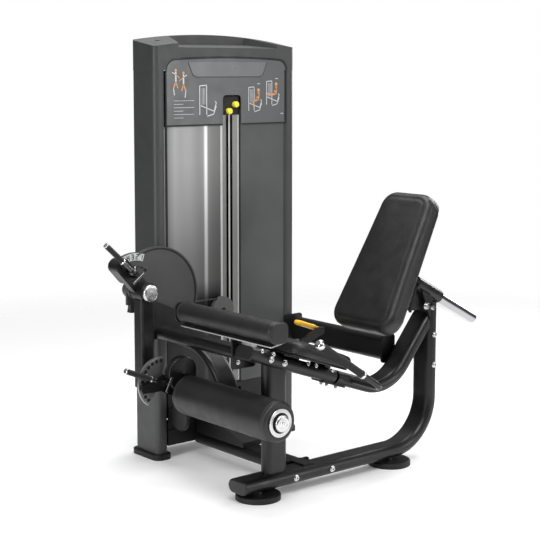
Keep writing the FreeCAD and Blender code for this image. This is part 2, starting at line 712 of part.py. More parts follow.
def placard_face(margin, y=None):
    """The placard's outline: rounded top corners under a slight arch, and the slot's arched notch."""
    y = TOWER_Y[0] - 20 if y is None else y
    x0 = TOWER_X[0] + UPRIGHT_W - 2 - margin
    x1 = TOWER_X[1] - UPRIGHT_W + 12 + margin
    top = PLACARD_TOP + margin
    shoulder = V(x0, y, top - 48)
    shoulder_in = V(x0 + 46, y, top)
    corner = V(x0 + 14, y, top - 13)
    far_in = V(x1 - 46, y, top)
    far_corner = V(x1 - 14, y, top - 13)
    far_shoulder = V(x1, y, top - 48)
    low_left = V(x0, y, PANEL_Z[1])
    low_right = V(x1, y, PANEL_Z[1])
    middle = V((x0 + x1) / 2, y, top + 8)
    return Part.Face(Part.Wire([
        Part.LineSegment(low_left, shoulder).toShape(),
        Part.Arc(shoulder, corner, shoulder_in).toShape(),
        Part.Arc(shoulder_in, middle, far_in).toShape(),
        Part.Arc(far_in, far_corner, far_shoulder).toShape(),
        Part.LineSegment(far_shoulder, low_right).toShape(),
        Part.LineSegment(low_right, low_left).toShape()]))


def slot_cutter(y0, y1):
    """The arched slot in front of the weight stack."""
    x0, x1 = SLOT_X
    cutter = box(V(x0, y0, 0), V(x1, y1, SLOT_TOP))
    top = [e for e in cutter.Edges if abs(e.CenterOfMass.z - SLOT_TOP) < 1]
    return cutter.makeFillet(16, [e for e in top if abs(e.tangentAt(e.FirstParameter).y) > 0.99])


def placard():
    face = placard_face(0.0, TOWER_Y[0] + 2)
    board = face.extrude(V(0, 4, 0))
    board = board.cut(slot_cutter(TOWER_Y[0] - 10, TOWER_Y[0] + 20))
    x0 = TOWER_X[0] + UPRIGHT_W
    return board.cut(box(V(x0 - 60, 590, 0), V(x0 + 0.5, 620, UPRIGHT_TOP))).cut(
        box(V(TOWER_X[1] - UPRIGHT_W - 0.5, 590, 0), V(TOWER_X[1] + 10, 620, UPRIGHT_TOP)))


def front_panel(x0, x1, low):
    panel = box(V(x0, PANEL_Y, low), V(x1, PANEL_Y + PANEL_THICK, PANEL_Z[1]))
    return_flange = box(V(x0, PANEL_Y, low), V(x0 + 3, PANEL_Y + 5, PANEL_Z[1]))
    other_flange = box(V(x1 - 3, PANEL_Y, low), V(x1, PANEL_Y + 5, PANEL_Z[1]))
    return panel.fuse(return_flange).fuse(other_flange)


def left_panel():
    return front_panel(TOWER_X[0] + UPRIGHT_W + 0.5, SLOT_X[0], PANEL_Z[0])


def right_panel():
    return front_panel(SLOT_X[1], TOWER_X[1] - UPRIGHT_W - 0.5, PANEL_Z[0])


def lower_panel():
    """Lower front cover of the tower, with a bay for the base pulley."""
    x0 = TOWER_X[0] + UPRIGHT_W + 0.5
    x1 = TOWER_X[1] - UPRIGHT_W - 0.5
    panel = box(V(x0, PANEL_Y, 112), V(x1, PANEL_Y + PANEL_THICK, PANEL_Z[0] - 2))
    return panel.cut(box(V(STACK_X - 44, PANEL_Y - 5, 50), V(STACK_X + 44, PANEL_Y + 10, 230)))


def tower_rear_panel():
    x0 = TOWER_X[0] + UPRIGHT_W + 0.5
    x1 = TOWER_X[1] - UPRIGHT_W - 0.5
    panel = box(V(x0, TOWER_Y[1] - 10, 112), V(x1, TOWER_Y[1] - 7, UPRIGHT_TOP - 2))
    ribs = [box(V(x, TOWER_Y[1] - 13, 200), V(x + 24, TOWER_Y[1] - 10, 1400)) for x in (120, 540)]
    return panel.fuse(ribs[0]).fuse(ribs[1])


def tower_base():
    """Bottom rails between the uprights, with the pulley bay and the stack's posts."""
    x0 = TOWER_X[0] + UPRIGHT_W
    x1 = TOWER_X[1] - UPRIGHT_W
    bay = box(V(STACK_X - 42, 560, 40), V(STACK_X + 42, 780, 120))
    front = box(V(x0, TOWER_Y[0] + 4, 48), V(x1, TOWER_Y[0] + 34, 110))
    rear = box(V(x0, TOWER_Y[1] - 44, 48), V(x1, TOWER_Y[1] - 16, 110))
    base = front.fuse(rear).cut(bay)
    for side in (-1, 1):
        x = STACK_X + side * 52
        base = base.fuse(box(V(x - 12, TOWER_Y[0] + 4, 48), V(x + 12, TOWER_Y[1] - 16, 110)))
        low = V(STACK_X + side * 46 - 16, STACK_Y - 30, 100)
        base = base.fuse(box(low, low + V(32, 60, 122)))
    axis = pulley_axis(CABLE_DOWN, CABLE_UP)
    middle = lifted((CABLE_DOWN + CABLE_UP) * 0.5, BASE_PULLEY_Z)
    base = base.fuse(cylinder(middle - axis * 36, middle + axis * 36, PULLEY_PIN_R))
    for rod in guide_rods().Solids:
        base = base.cut(rod)
    return base


def pulley_beam():
    """Cross beam near the top of the tower, with the hanger of the top pulley."""
    x0 = TOWER_X[0] + UPRIGHT_W
    x1 = TOWER_X[1] - UPRIGHT_W
    middle = lifted((CABLE_UP + lift(STACK_Y, V(STACK_X, 0, 0))) * 0.5, TOP_PULLEY_Z)
    beam = box(V(x0, STACK_Y - 24, GUIDE_TOP), V(x1, STACK_Y + 66, GUIDE_TOP + 36))
    beam = beam.cut(box(V(middle.x - 26, STACK_Y - 9, 1400), V(middle.x + 26, STACK_Y + 120, 1500)))
    for side in (-1, 1):
        low = V(middle.x + side * 30 - 4, middle.y - 14, TOP_PULLEY_Z - 18)
        beam = beam.fuse(box(low, low + V(8, 28, GUIDE_TOP + 4 - low.z)))
    axis = pulley_axis(CABLE_UP, V(STACK_X, STACK_Y, 0))
    beam = beam.fuse(cylinder(middle - axis * 30, middle + axis * 30, PULLEY_PIN_R))
    for rod in guide_rods().Solids:
        beam = beam.cut(rod)
    return beam


def base_cover():
    """Low black cover over the base cross tube, in front of the tower."""
    low = V(172, 300, RAIL_Z + TUBE_H / 2)
    cover = box(low, V(272, TOWER_Y[0] - 4, 150))
    above = Part.makeBox(400, 300, 200, V(-200, -150, 0))
    cover = cover.cut(placed(above, V(222, 360, 122), X_AXIS, V(0, -0.32, 0.947)))
    sides = [e for e in cover.Edges if abs(e.tangentAt(e.FirstParameter).z) > 0.9]
    return cover.makeFillet(10, sides)


def side_disc_cover():
    """Round domed cover on the outside of the tower's left foot, on a short bracket."""
    mid = V(54, 540, 175)
    disc = cylinder(mid + V(-8, 0, 0), mid + V(8, 0, 0), 55)
    disc = disc.makeFillet(7, [e for e in disc.Edges if e.CenterOfMass.x < 47])
    stay = box(V(50, 585, 150), V(58, PANEL_Y, 200))
    return disc.fuse(stay)


def guide_rods():
    rods = []
    for side in (-1, 1):
        x = STACK_X + side * GUIDE_SPREAD
        rods.append(cylinder(V(x, STACK_Y, 150), V(x, STACK_Y, GUIDE_TOP + 40), GUIDE_R))
    return group(rods)


def stack_bumpers():
    bumpers = []
    for side in (-1, 1):
        x = STACK_X + side * GUIDE_SPREAD
        bumpers.append(ring(V(x, STACK_Y, 222), V(x, STACK_Y, PLATE_BASE_Z), 22, GUIDE_R))
    return group(bumpers)


def weight_plate(z):
    low = V(STACK_X - PLATE_SIZE.x / 2, STACK_Y - PLATE_SIZE.y / 2, z)
    body = rounded_box(low, low + PLATE_SIZE, 8, Z_AXIS)
    for dx, radius in ((-GUIDE_SPREAD, GUIDE_R + 1.5), (GUIDE_SPREAD, GUIDE_R + 1.5), (0, 14)):
        body = body.cut(cylinder(V(STACK_X + dx, STACK_Y, z - 1), V(STACK_X + dx, STACK_Y, z + 30), radius))
    pin_z = z + PLATE_SIZE.z / 2
    return body.cut(cylinder(V(STACK_X, low.y - 1, pin_z), V(STACK_X, STACK_Y, pin_z), PIN_R + 0.6))


def plate_z(index):
    return PLATE_BASE_Z + index * PLATE_PITCH


def resting_plates():
    return group([weight_plate(plate_z(i)) for i in range(RESTING_PLATES)])


def lifted_plates():
    first = RESTING_PLATES
    return group([weight_plate(plate_z(first + i)) for i in range(LIFTED_PLATES)])


def selector_stem():
    """Drilled stem through the stack, with the cable eye on its head plate."""
    top = plate_z(RESTING_PLATES + LIFTED_PLATES)
    stem = cylinder(V(STACK_X, STACK_Y, PLATE_BASE_Z + 4), V(STACK_X, STACK_Y, top + 34), 11)
    for i in range(RESTING_PLATES + LIFTED_PLATES):
        z = plate_z(i) + PLATE_SIZE.z / 2
        stem = stem.cut(cylinder(V(STACK_X, STACK_Y - 20, z), V(STACK_X, STACK_Y + 20, z), PIN_R + 0.3))
    collar = cylinder(V(STACK_X, STACK_Y, top), V(STACK_X, STACK_Y, top + 9), 24)
    head = cylinder(V(STACK_X, STACK_Y, top + 30), V(STACK_X, STACK_Y, top + 46), 15)
    return stem.fuse(collar).fuse(head)


def stack_top():
    return plate_z(RESTING_PLATES + LIFTED_PLATES) + 46


def selector_pin():
    z = plate_z(RESTING_PLATES) + PLATE_SIZE.z / 2
    shank = cylinder(V(STACK_X, 590, z), V(STACK_X, STACK_Y + 10, z), PIN_R)
    knob = cylinder(V(STACK_X, 566, z), V(STACK_X, 590, z), 12)
    knob = knob.makeFillet(5, [e for e in knob.Edges if e.CenterOfMass.y < 567])
    return shank.fuse(knob)


def addon_knob(x, z):
    """Yellow add-on weight knob on its own short guide pin behind the slot."""
    body = cylinder(V(x, 596, z), V(x, 634, z), KNOB_R)
    return body.makeFillet(3, [e for e in body.Edges if e.CenterOfMass.y < 597])


def upper_knob():
    return addon_knob(*KNOB_PLACES[0])


def lower_knob():
    return addon_knob(*KNOB_PLACES[1])


def knob_carrier():
    """Dark carrier behind the slot that the add-on knobs slide in."""
    block = box(V(SLOT_X[0] + 3, 612, 1318), V(SLOT_X[1] - 3, 634, 1398))
    for x, z in KNOB_PLACES:
        block = block.cut(cylinder(V(x, 600, z), V(x, 640, z), KNOB_R + SHAFT_FIT))
    wings = [box(V(SLOT_X[0] - 40, 628, 1330), V(SLOT_X[0] + 3, 634, 1386)),
             box(V(SLOT_X[1] - 3, 628, 1330), V(SLOT_X[1] + 40, 634, 1386))]
    return block.fuse(wings[0]).fuse(wings[1])


# ---------------------------------------------------------------- leg lever
def pivot_axle():
    """Turning axle with its domed chrome cap."""
    axle = cylinder(lift(466, PIVOT), lift(598, PIVOT), AXLE_R)
    cap = cylinder(lift(450, PIVOT), lift(466, PIVOT), 32)
    cap = cap.makeFillet(9, [e for e in cap.Edges if e.CenterOfMass.y < 451])
    screw = cylinder(lift(446, PIVOT), lift(450, PIVOT), 9)
    return axle.fuse(cap).fuse(screw)


def cam():
    """Cam plate with its hub, the cable sector behind it and the pin's groove and holes."""
    y0, y1 = CAM_Y
    disc = cylinder(lift(y0, CAM_DISC_MID), lift(y1, CAM_DISC_MID), CAM_DISC_R)
    crown = cylinder(lift(y0, PIVOT), lift(y1, PIVOT), CAM_CROWN_R)
    left = plate([PIVOT + V(-34, 0, -300), PIVOT + V(-34, 0, 35), PIVOT + V(-300, 0, 310),
                  PIVOT + V(-400, 0, -300)], y0 - 1, y1 + 1)
    below = plate([PIVOT + V(-160, 0, -40), PIVOT + V(0, 0, -58), PIVOT + V(300, 0, -190),
                   PIVOT + V(300, 0, -400), PIVOT + V(-160, 0, -400)], y0 - 1, y1 + 1)
    face = disc.fuse(crown).cut(left).cut(below)
    hub = cylinder(lift(548, PIVOT), lift(SECTOR_Y[1], PIVOT), 34)
    drum = annular_sector(PIVOT, 30, SECTOR_R + 8, -100, 20, y1, SECTOR_Y[1])
    low, high = CABLE_DOWN.y - 4, CABLE_DOWN.y + 4
    groove = annular_sector(PIVOT, SECTOR_R - CABLE_R - 0.5, SECTOR_R + 20, -101, 21, low, high)
    body = face.fuse(hub).fuse(drum).cut(groove)
    for step in range(7):
        hole = polar(PIVOT, PIN_CIRCLE_R, START_PIN_ANGLE - 12 * step)
        body = body.cut(cylinder(lift(y0 - 1, hole), lift(y1 + 1, hole), PIN_R + 0.5))
    track_in, track_out = PIN_CIRCLE_R - PIN_R - 1, PIN_CIRCLE_R + PIN_R + 1
    first, last = START_PIN_ANGLE - 80, START_PIN_ANGLE + 6
    track = annular_sector(PIVOT, track_in, track_out, first, last, y0 - 1, y0 + 6)
    return body.cut(track).cut(cylinder(lift(540, PIVOT), lift(600, PIVOT), AXLE_R))


def cam_rim():
    """Raised guard band round the cam's top edge."""
    return annular_sector(CAM_DISC_MID, CAM_DISC_R + 0.3, CAM_DISC_R + 6, -14, 118, CAM_Y[0] - 3, CAM_Y[1])


def arm_envelope():
    """Outside of the hanging arm with its hub and the two bosses of the shin adjuster."""
    low = V(PIVOT.x - 32, 472, SHIN_PIVOT.z - 34)
    tube = rounded_box(low, V(PIVOT.x + 32, 528, PIVOT.z - 24), 14, Z_AXIS)
    hub = cylinder(lift(467, PIVOT), lift(530, PIVOT), 38)
    boss = cylinder(lift(408, SHIN_PIVOT), lift(480, SHIN_PIVOT), 26)
    return tube.fuse(hub).fuse(boss)


def lever_arm():
    """Hanging arm with its hub, and the boss that carries the shin adjuster."""
    low = V(PIVOT.x - 28, 476, SHIN_PIVOT.z + 30)
    arm = arm_envelope().cut(rounded_box(low, V(PIVOT.x + 28, 524, PIVOT.z - 42), 10, Z_AXIS))
    arm = arm.cut(cylinder(lift(400, PIVOT), lift(600, PIVOT), AXLE_R + SHAFT_FIT))
    return arm.cut(cylinder(lift(380, SHIN_PIVOT), lift(530, SHIN_PIVOT), SHIN_AXLE_R + SHAFT_FIT))


def casting_block(start, side, y0, y1):
    """Rounded block along the casting's own axis, between two Y planes."""
    block = rounded_box(V(start, side, 0), V(163, 27, y1 - y0), 26, Z_AXIS)
    along = polar(V(0, 0, 0), 1, CASTING_ANGLE)
    return placed(block, lift(y1, PIVOT), along, V(0, -1, 0))


def selector_casting():
    """Start-position casting that swings round the pivot in front of the cam.

    Its rear step, which guides the pin, is narrower and clears the bearing plate at full lift.
    """
    front = casting_block(-34, -34, 500, 530).cut(cylinder(lift(490, PIVOT), lift(530, PIVOT), 38))
    rear = casting_block(52, -30, 530, 557)
    body = front.fuse(rear).cut(arm_envelope())
    pin = polar(PIVOT, PIN_CIRCLE_R, START_PIN_ANGLE)
    body = body.cut(cylinder(lift(480, pin), lift(570, pin), PIN_R + SHAFT_FIT))
    return max(body.Solids, key=lambda solid: solid.Volume)


def start_handle():
    """Chrome rod that swings the start-position casting, on a short stub."""
    root = lift(474, START_ROOT)
    out = polar(V(0, 0, 0), 1, START_HANDLE_ANGLE)
    stub = cylinder(lift(464, root), lift(500, root), 13)
    rod = cylinder(root, root + out * 66, 8)
    collar = cylinder(root + out * 60, root + out * 66, 12)
    return stub.fuse(rod).fuse(collar)


def start_grip():
    root = lift(474, START_ROOT)
    out = polar(V(0, 0, 0), 1, START_HANDLE_ANGLE)
    grip = cylinder(root + out * 66, root + out * 162, 10.5)
    return grip.makeFillet(6, [e for e in grip.Edges if (e.CenterOfMass - root).dot(out) > 161])


def pull_pin(centre, y_tip, y_knob, radius, bar_length, bar_angle):
    """A spring plunger: a straight pin with a T bar across its outer end."""
    pin = cylinder(lift(y_knob, centre), lift(y_tip, centre), radius)
    across = polar(V(0, 0, 0), bar_length / 2, bar_angle)
    middle = lift(y_knob, centre)
    bar = cylinder(middle - across, middle + across, 6)
    return pin.fuse(soften_ends(bar, 2.5))


def soften_ends(rod, radius):
    return rod.makeFillet(radius, [e for e in rod.Edges if e.Curve.TypeId == "Part::GeomCircle"])


def start_pin():
    return pull_pin(polar(PIVOT, PIN_CIRCLE_R, START_PIN_ANGLE), CAM_Y[0] + 5, 450, PIN_R, 58, 37)


def shin_arc_plate():
    """Drilled quadrant that sets the roller's start angle."""
    quadrant = annular_sector(SHIN_PIVOT, 24, 96, 78, 236, 400, 408)
    quadrant = quadrant.fuse(cylinder(lift(400, SHIN_PIVOT), lift(408, SHIN_PIVOT), 30))
    for angle in range(88, 231, 14):
        hole = polar(SHIN_PIVOT, SHIN_ARC_R, angle)
        quadrant = quadrant.cut(cylinder(lift(399, hole), lift(409, hole), PIN_R + 0.5))
    return quadrant.cut(cylinder(lift(399, SHIN_PIVOT), lift(409, SHIN_PIVOT), SHIN_AXLE_R + SHAFT_FIT))


def shin_swing_arm():
    """Swing plates, the roller's carrier disc and its long shaft."""
    axle = cylinder(lift(362, SHIN_PIVOT), lift(520, SHIN_PIVOT), SHIN_AXLE_R)
    arm = link(SHIN_PIVOT, ROLLER, 30, 24, 384, 398)
    shaft = cylinder(lift(ROLLER_Y[0] - 12, ROLLER), lift(398, ROLLER), ROLLER_BORE_R)
    disc_mid = ROLLER + V(-2, 0, 73)
    disc = cylinder(lift(352, disc_mid), lift(384, disc_mid), 64)
    disc = soften_ends(disc, 5)
    finger = link(SHIN_PIVOT, polar(SHIN_PIVOT, SHIN_ARC_R, 190), 30, 15, 384, 398)
    body = arm.fuse(axle).fuse(shaft).fuse(disc).fuse(finger)
    bore = cylinder(lift(300, SHIN_PIVOT), lift(440, SHIN_PIVOT), PIN_R + SHAFT_FIT)
    return body.cut(bore)


def shin_handle():
    """Grip for setting the roller's start angle."""
    out = polar(V(0, 0, 0), 1, SHIN_HANDLE_ANGLE)
    root = lift(386, SHIN_PIVOT)
    rod = cylinder(root + out * 32, root + out * 60, 7)
    grip = cylinder(root + out * 60, root + out * 178, 10.5)
    grip = grip.makeFillet(6, [e for e in grip.Edges if (e.CenterOfMass - root).dot(out) > 177])
    collar = cylinder(root + out * 56, root + out * 62, 12.5)
    handle = rod.fuse(grip).fuse(collar)
    arm = link(SHIN_PIVOT, polar(SHIN_PIVOT, SHIN_ARC_R, 190), 30, 15, 384, 398)
    return handle.cut(arm)


def shin_pin():
    return pull_pin(SHIN_PIVOT, 436, 345, PIN_R, 58, 64)


def ankle_roller():
    y0, y1 = ROLLER_Y
    roll = cylinder(lift(y0, ROLLER), lift(y1, ROLLER), ROLLER_R)
    roll = soften_ends(roll, 12)
    return roll.cut(cylinder(lift(y0, ROLLER), lift(y1, ROLLER), ROLLER_BORE_R + SHAFT_FIT))


def roller_cap():
    """Chrome washer and domed cap that hold the roller on its shaft."""
    y0 = ROLLER_Y[0]
    washer = cylinder(lift(y0 - 6, ROLLER), lift(y0 - 1, ROLLER), 49)
    washer = washer.cut(cylinder(lift(y0 - 6, ROLLER), lift(y0 - 1, ROLLER), ROLLER_BORE_R))
    cap = cylinder(lift(y0 - 20, ROLLER), lift(y0 - 12, ROLLER), 29)
    cap = cap.makeFillet(6, [e for e in cap.Edges if e.CenterOfMass.y < y0 - 19])
    skirt = ring(lift(y0 - 12, ROLLER), lift(y0 - 6, ROLLER), 29, ROLLER_BORE_R)
    return cap.fuse(skirt).fuse(washer)


# ---------------------------------------------------------------- lift cable and pulleys
def pulley_axis(first, second):
    """Level axis square to the upright plane that two vertical cable runs share."""
    run = lifted(second - first, 0).normalize()
    return V(run.y, -run.x, 0)


def pulley(middle, axis, radius):
    """A grooved wheel; radius is measured to the middle of the cable."""
    wheel = cylinder(middle - axis * PULLEY_HALF_W, middle + axis * PULLEY_HALF_W, radius + PULLEY_LIP)
    tube = Part.makeTorus(radius, CABLE_R + 0.4, middle, axis)
    half_groove = axis * (CABLE_R + 0.4)
    slot = ring(middle - half_groove, middle + half_groove, radius + PULLEY_LIP + 1, radius)
    wheel = wheel.cut(tube).cut(slot)
    return wheel.cut(cylinder(middle - axis * 20, middle + axis * 20, PULLEY_PIN_R + SHAFT_FIT))


def turn_middle():
    return V(CABLE_DOWN.x - TURN_PULLEY_R, CABLE_DOWN.y, CABLE_Z - TURN_PULLEY_R)


def turn_pulley():
    return pulley(turn_middle(), Y_AXIS, TURN_PULLEY_R)


def turn_bracket():
    """Bearing block for the turn pulley, on the left front panel."""
    middle = turn_middle()
    pin = cylinder(lift(569, middle), lift(596, middle), PULLEY_PIN_R)
    low = V(middle.x - 50, 595, middle.z - 40)
    high = V(middle.x + 22, PANEL_Y, middle.z + 40)
    return rounded_box(low, high, 8, Y_AXIS).fuse(pin)


def half_span(first, second):
    return lifted(second - first, 0).Length / 2


def base_pulley():
    middle = lifted((CABLE_DOWN + CABLE_UP) * 0.5, BASE_PULLEY_Z)
    return pulley(middle, pulley_axis(CABLE_DOWN, CABLE_UP), half_span(CABLE_DOWN, CABLE_UP))


def top_pulley():
    drop = V(STACK_X, STACK_Y, 0)
    middle = lifted((CABLE_UP + drop) * 0.5, TOP_PULLEY_Z)
    return pulley(middle, pulley_axis(CABLE_UP, drop), half_span(CABLE_UP, drop))


def half_loop(first, second, z, side):
    """Half circle from one vertical run to the other, below (-1) or above (+1) a height."""
    middle = (first + second) * 0.5
    radius = half_span(first, second)
    crest = lifted(middle, z + side * radius)
    return Part.Arc(lifted(first, z), crest, lifted(second, z)).toShape()


def cable_path():
    """From the cam sector, over the turn pulley, under the base pulley and over the top one."""
    drop = V(STACK_X, STACK_Y, 0)
    turn = turn_middle()
    start = V(PIVOT.x, CABLE_DOWN.y, CABLE_Z)
    crest = V(turn.x, CABLE_DOWN.y, CABLE_Z)
    corner = V(CABLE_DOWN.x, CABLE_DOWN.y, turn.z)
    between = turn + V(math.sqrt(0.5), 0, math.sqrt(0.5)) * TURN_PULLEY_R
    return [
        Part.LineSegment(start, crest).toShape(),
        Part.Arc(crest, between, corner).toShape(),
        Part.LineSegment(corner, lifted(CABLE_DOWN, BASE_PULLEY_Z)).toShape(),
        half_loop(CABLE_DOWN, CABLE_UP, BASE_PULLEY_Z, -1),
        Part.LineSegment(lifted(CABLE_UP, BASE_PULLEY_Z), lifted(CABLE_UP, TOP_PULLEY_Z)).toShape(),
        half_loop(CABLE_UP, drop, TOP_PULLEY_Z, 1)]


def lift_cable():
    path = cable_path()
    start = V(PIVOT.x, CABLE_DOWN.y, CABLE_Z)
    profile = Part.Wire([Part.Circle(start, X_AXIS, CABLE_R).toShape()])
    return sweep(path, profile)


def drop_cable():
    """Last vertical run, down to the selector stem."""
    return cylinder(V(STACK_X, STACK_Y, stack_top()), V(STACK_X, STACK_Y, TOP_PULLEY_Z), CABLE_R)


# ---------------------------------------------------------------- export
NODES = {
    "main_frame_tube": [main_frame_tube],
    "seat_tube": [seat_tube],
    "seat_rail": [seat_rail],
    "front_column": [front_column],
    "base_cross_tube": [base_cross_tube],
    "rear_cross_tube": [rear_cross_tube],
    "pivot_cross_tube": [pivot_cross_tube],
    "pivot_plates": [pivot_plates],
    "brace_plates": [brace_plates],
    "tube_end_caps": [tube_end_caps],
    "foot_pads": [foot_pads],
    "rail_bolts": [rail_bolts],
    "seat_pan": [seat_pan],
    "seat_cushion": [seat_cushion],
    "knee_roll": [knee_roll],
    "knee_roll_caps": [knee_roll_caps],
    "knee_roll_plate": [knee_roll_plate],
    "grip_tubes": [grip_tubes, grip_ends],
    "hand_grips": [hand_grips],
    "guide_sleeve": [guide_sleeve],
    "backrest_bar": [backrest_bar, back_board],
    "back_pad": [back_pad],
    "release_bracket": [release_bracket],
    "release_lever": [release_lever],
    "tower_uprights": [tower_uprights],
    "tower_boots": [tower_boots],
    "tower_top_cap": [tower_top_cap],
    "tower_cross_members": [tower_base, pulley_beam],
    "placard": [placard],
    "left_panel": [left_panel, turn_bracket],
    "right_panel": [right_panel],
    "tower_covers": [lower_panel, tower_rear_panel],
    "base_covers": [base_cover, side_disc_cover],
    "guide_rods": [guide_rods],
    "stack_bumpers": [stack_bumpers],
    "resting_plates": [resting_plates],
    "lifted_plates": [lifted_plates],
    "selector_stem": [selector_stem],
    "selector_pin": [selector_pin],
    "upper_knob": [upper_knob],
    "lower_knob": [lower_knob],
    "knob_carrier": [knob_carrier],
    "pivot_axle": [pivot_axle],
    "cam": [cam, cam_rim],
    "lever_arm": [lever_arm],
    "selector_casting": [selector_casting],
    "start_handle": [start_handle, start_grip],
    "start_pin": [start_pin],
    "shin_arc_plate": [shin_arc_plate],
    "shin_swing_arm": [shin_swing_arm],
    "shin_handle": [shin_handle],
    "shin_pin": [shin_pin],
    "ankle_roller": [ankle_roller],
    "roller_cap": [roller_cap],
    "turn_pulley": [turn_pulley],
    "base_pulley": [base_pulley],
    "top_pulley": [top_pulley],
    "lift_cable": [lift_cable],
    "drop_cable": [drop_cable],
}

os.makedirs("parts", exist_ok=True)
for name, makers in NODES.items():
    shape = group([solid for make in makers for solid in make().Solids])
    shape.translate(ORIGIN * -1)
    shape.exportStep("parts/" + name + ".step")
    extent = shape.optimalBoundingBox()
    print(name, len(shape.Solids), shape.isValid(), round(shape.Volume),
          [round(v) for v in (extent.XMin, extent.XMax, extent.YMin, extent.YMax, extent.ZMin, extent.ZMax)])
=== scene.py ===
import json
import math

import bmesh
import bpy
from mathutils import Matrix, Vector, noise


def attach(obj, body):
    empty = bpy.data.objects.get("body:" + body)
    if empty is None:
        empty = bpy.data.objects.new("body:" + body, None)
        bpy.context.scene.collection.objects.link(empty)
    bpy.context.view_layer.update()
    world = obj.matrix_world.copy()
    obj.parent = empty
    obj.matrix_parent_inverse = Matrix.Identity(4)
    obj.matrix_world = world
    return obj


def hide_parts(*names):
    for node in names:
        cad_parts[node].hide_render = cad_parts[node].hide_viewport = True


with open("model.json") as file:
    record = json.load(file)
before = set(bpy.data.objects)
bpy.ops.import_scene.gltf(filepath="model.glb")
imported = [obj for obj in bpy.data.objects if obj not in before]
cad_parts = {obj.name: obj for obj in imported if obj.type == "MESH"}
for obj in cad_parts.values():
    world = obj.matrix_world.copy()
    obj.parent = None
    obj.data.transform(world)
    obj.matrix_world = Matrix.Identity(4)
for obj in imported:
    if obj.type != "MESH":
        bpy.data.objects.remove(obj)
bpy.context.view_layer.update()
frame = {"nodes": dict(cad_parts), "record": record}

NODES = frame["nodes"]
FRAME_BODY = "machine_frame"

# The part is laid out in millimetres from its front foot; ORIGIN moves that to the row frame.
MM = 0.001
ORIGIN = Vector((389.6, 267.5, 0.0))
X = Vector((1, 0, 0))
Y = Vector((0, 1, 0))
Z = Vector((0, 0, 1))

SEAT_TILT = math.radians(19.3)
SEAT_ALONG = Vector((math.cos(SEAT_TILT), 0, -math.sin(SEAT_TILT)))
SEAT_UP = Vector((math.sin(SEAT_TILT), 0, math.cos(SEAT_TILT)))
SEAT_RAIL_MID = Vector((170, 0, 450))
SEAT_START = -150
SEAT_LEN = 292
SEAT_HALF_W = 165
SEAT_BASE = 36
SEAT_THICK = 52
SEAT_TUBE_CORNER = Vector((613, 0, 294.9))
SEAT_TUBE_FRONT = 288
PAD_LEAN = math.radians(29.4)
PAD_UP = Vector((math.sin(PAD_LEAN), 0, math.cos(PAD_LEAN)))
PAD_BACK = Vector((math.cos(PAD_LEAN), 0, -math.sin(PAD_LEAN)))
PAD_MID = Vector((631, 0, 785.8))
PAD_H = 568
PAD_HALF_LOW = 168
PAD_HALF_TOP = 130
PAD_THICK = 78
KNEE_ROLL = Vector((-63, 0, 626))
KNEE_ROLL_R = 38
KNEE_ROLL_Y = (-186, 350)
ROLLER = Vector((-62, 0, 321))
ROLLER_R = 72.5
ROLLER_Y = (-190, 334)
PIVOT = Vector((-134, 0, 686))
SHIN_PIVOT = Vector((-134, 0, 365))
CAM_DISC = Vector((-32, 0, 654))
CAM_DISC_R = 181
CAM_FACE_Y = 560
GRIP_TOP = Vector((96, 214, 571))
GRIP_LOW = Vector((402, 214, 370))
PLACARD_Y = 602
PLACARD_X = (43, 646)
PLACARD_TOP = 1543
PANEL_Y = 606
PANEL_Z = (252, 1286)
LEFT_PANEL_X = (46, 318)
SLOT_X = (316, 410)
PRINT_DEPTH = 0.5
BAND_DEPTH = 0.6


# ---------------------------------------------------------------- materials
def add_node(tree, kind, **values):
    node = tree.nodes.new("ShaderNode" + kind)
    for key, value in values.items():
        node.inputs[key.replace("_", " ")].default_value = value
    return node


def tinted(colour, factor):
    return tuple(min(1.0, c * factor) for c in colour) + (1.0,)


def mapped(tree, stretch):
    """Row-frame coordinates, squeezed along an axis where the pattern runs in lines."""
    coords = tree.nodes.new("ShaderNodeTexCoord")
    mapping = add_node(tree, "Mapping", Scale=stretch)
    tree.links.new(coords.outputs["Object"], mapping.inputs["Vector"])
    return mapping.outputs["Vector"]


def noise_at(tree, vector, scale, detail=3.0):
    node = add_node(tree, "TexNoise", Scale=scale, Detail=detail)
    tree.links.new(vector, node.inputs["Vector"])
    return node.outputs["Fac"]


def ranged(tree, source, low, high, out_low, out_high):
    node = add_node(tree, "MapRange", From_Min=low, From_Max=high, To_Min=out_low, To_Max=out_high)
    tree.links.new(source, node.inputs["Value"])
    return node.outputs["Result"]


def mixed(tree, factor, a, b):
    node = tree.nodes.new("ShaderNodeMix")
    node.data_type = "RGBA"
    tree.links.new(factor, node.inputs["Factor"])
    for socket, value in ((node.inputs[6], a), (node.inputs[7], b)):
        if isinstance(value, tuple):
            socket.default_value = value
        else:
            tree.links.new(value, socket)
    return node.outputs[2]


NOISE_SPAN = (0.3, 0.7)
CLOUD_SCALE = 9.0
GLOSS_SCALE = 23.0
SCRATCH_SCALE = 0.9
SCRATCH_LINES = (40, 40, 900)
SCRATCH_EDGE = (0.66, 0.74)
SCRATCH_LIFT = 1.9


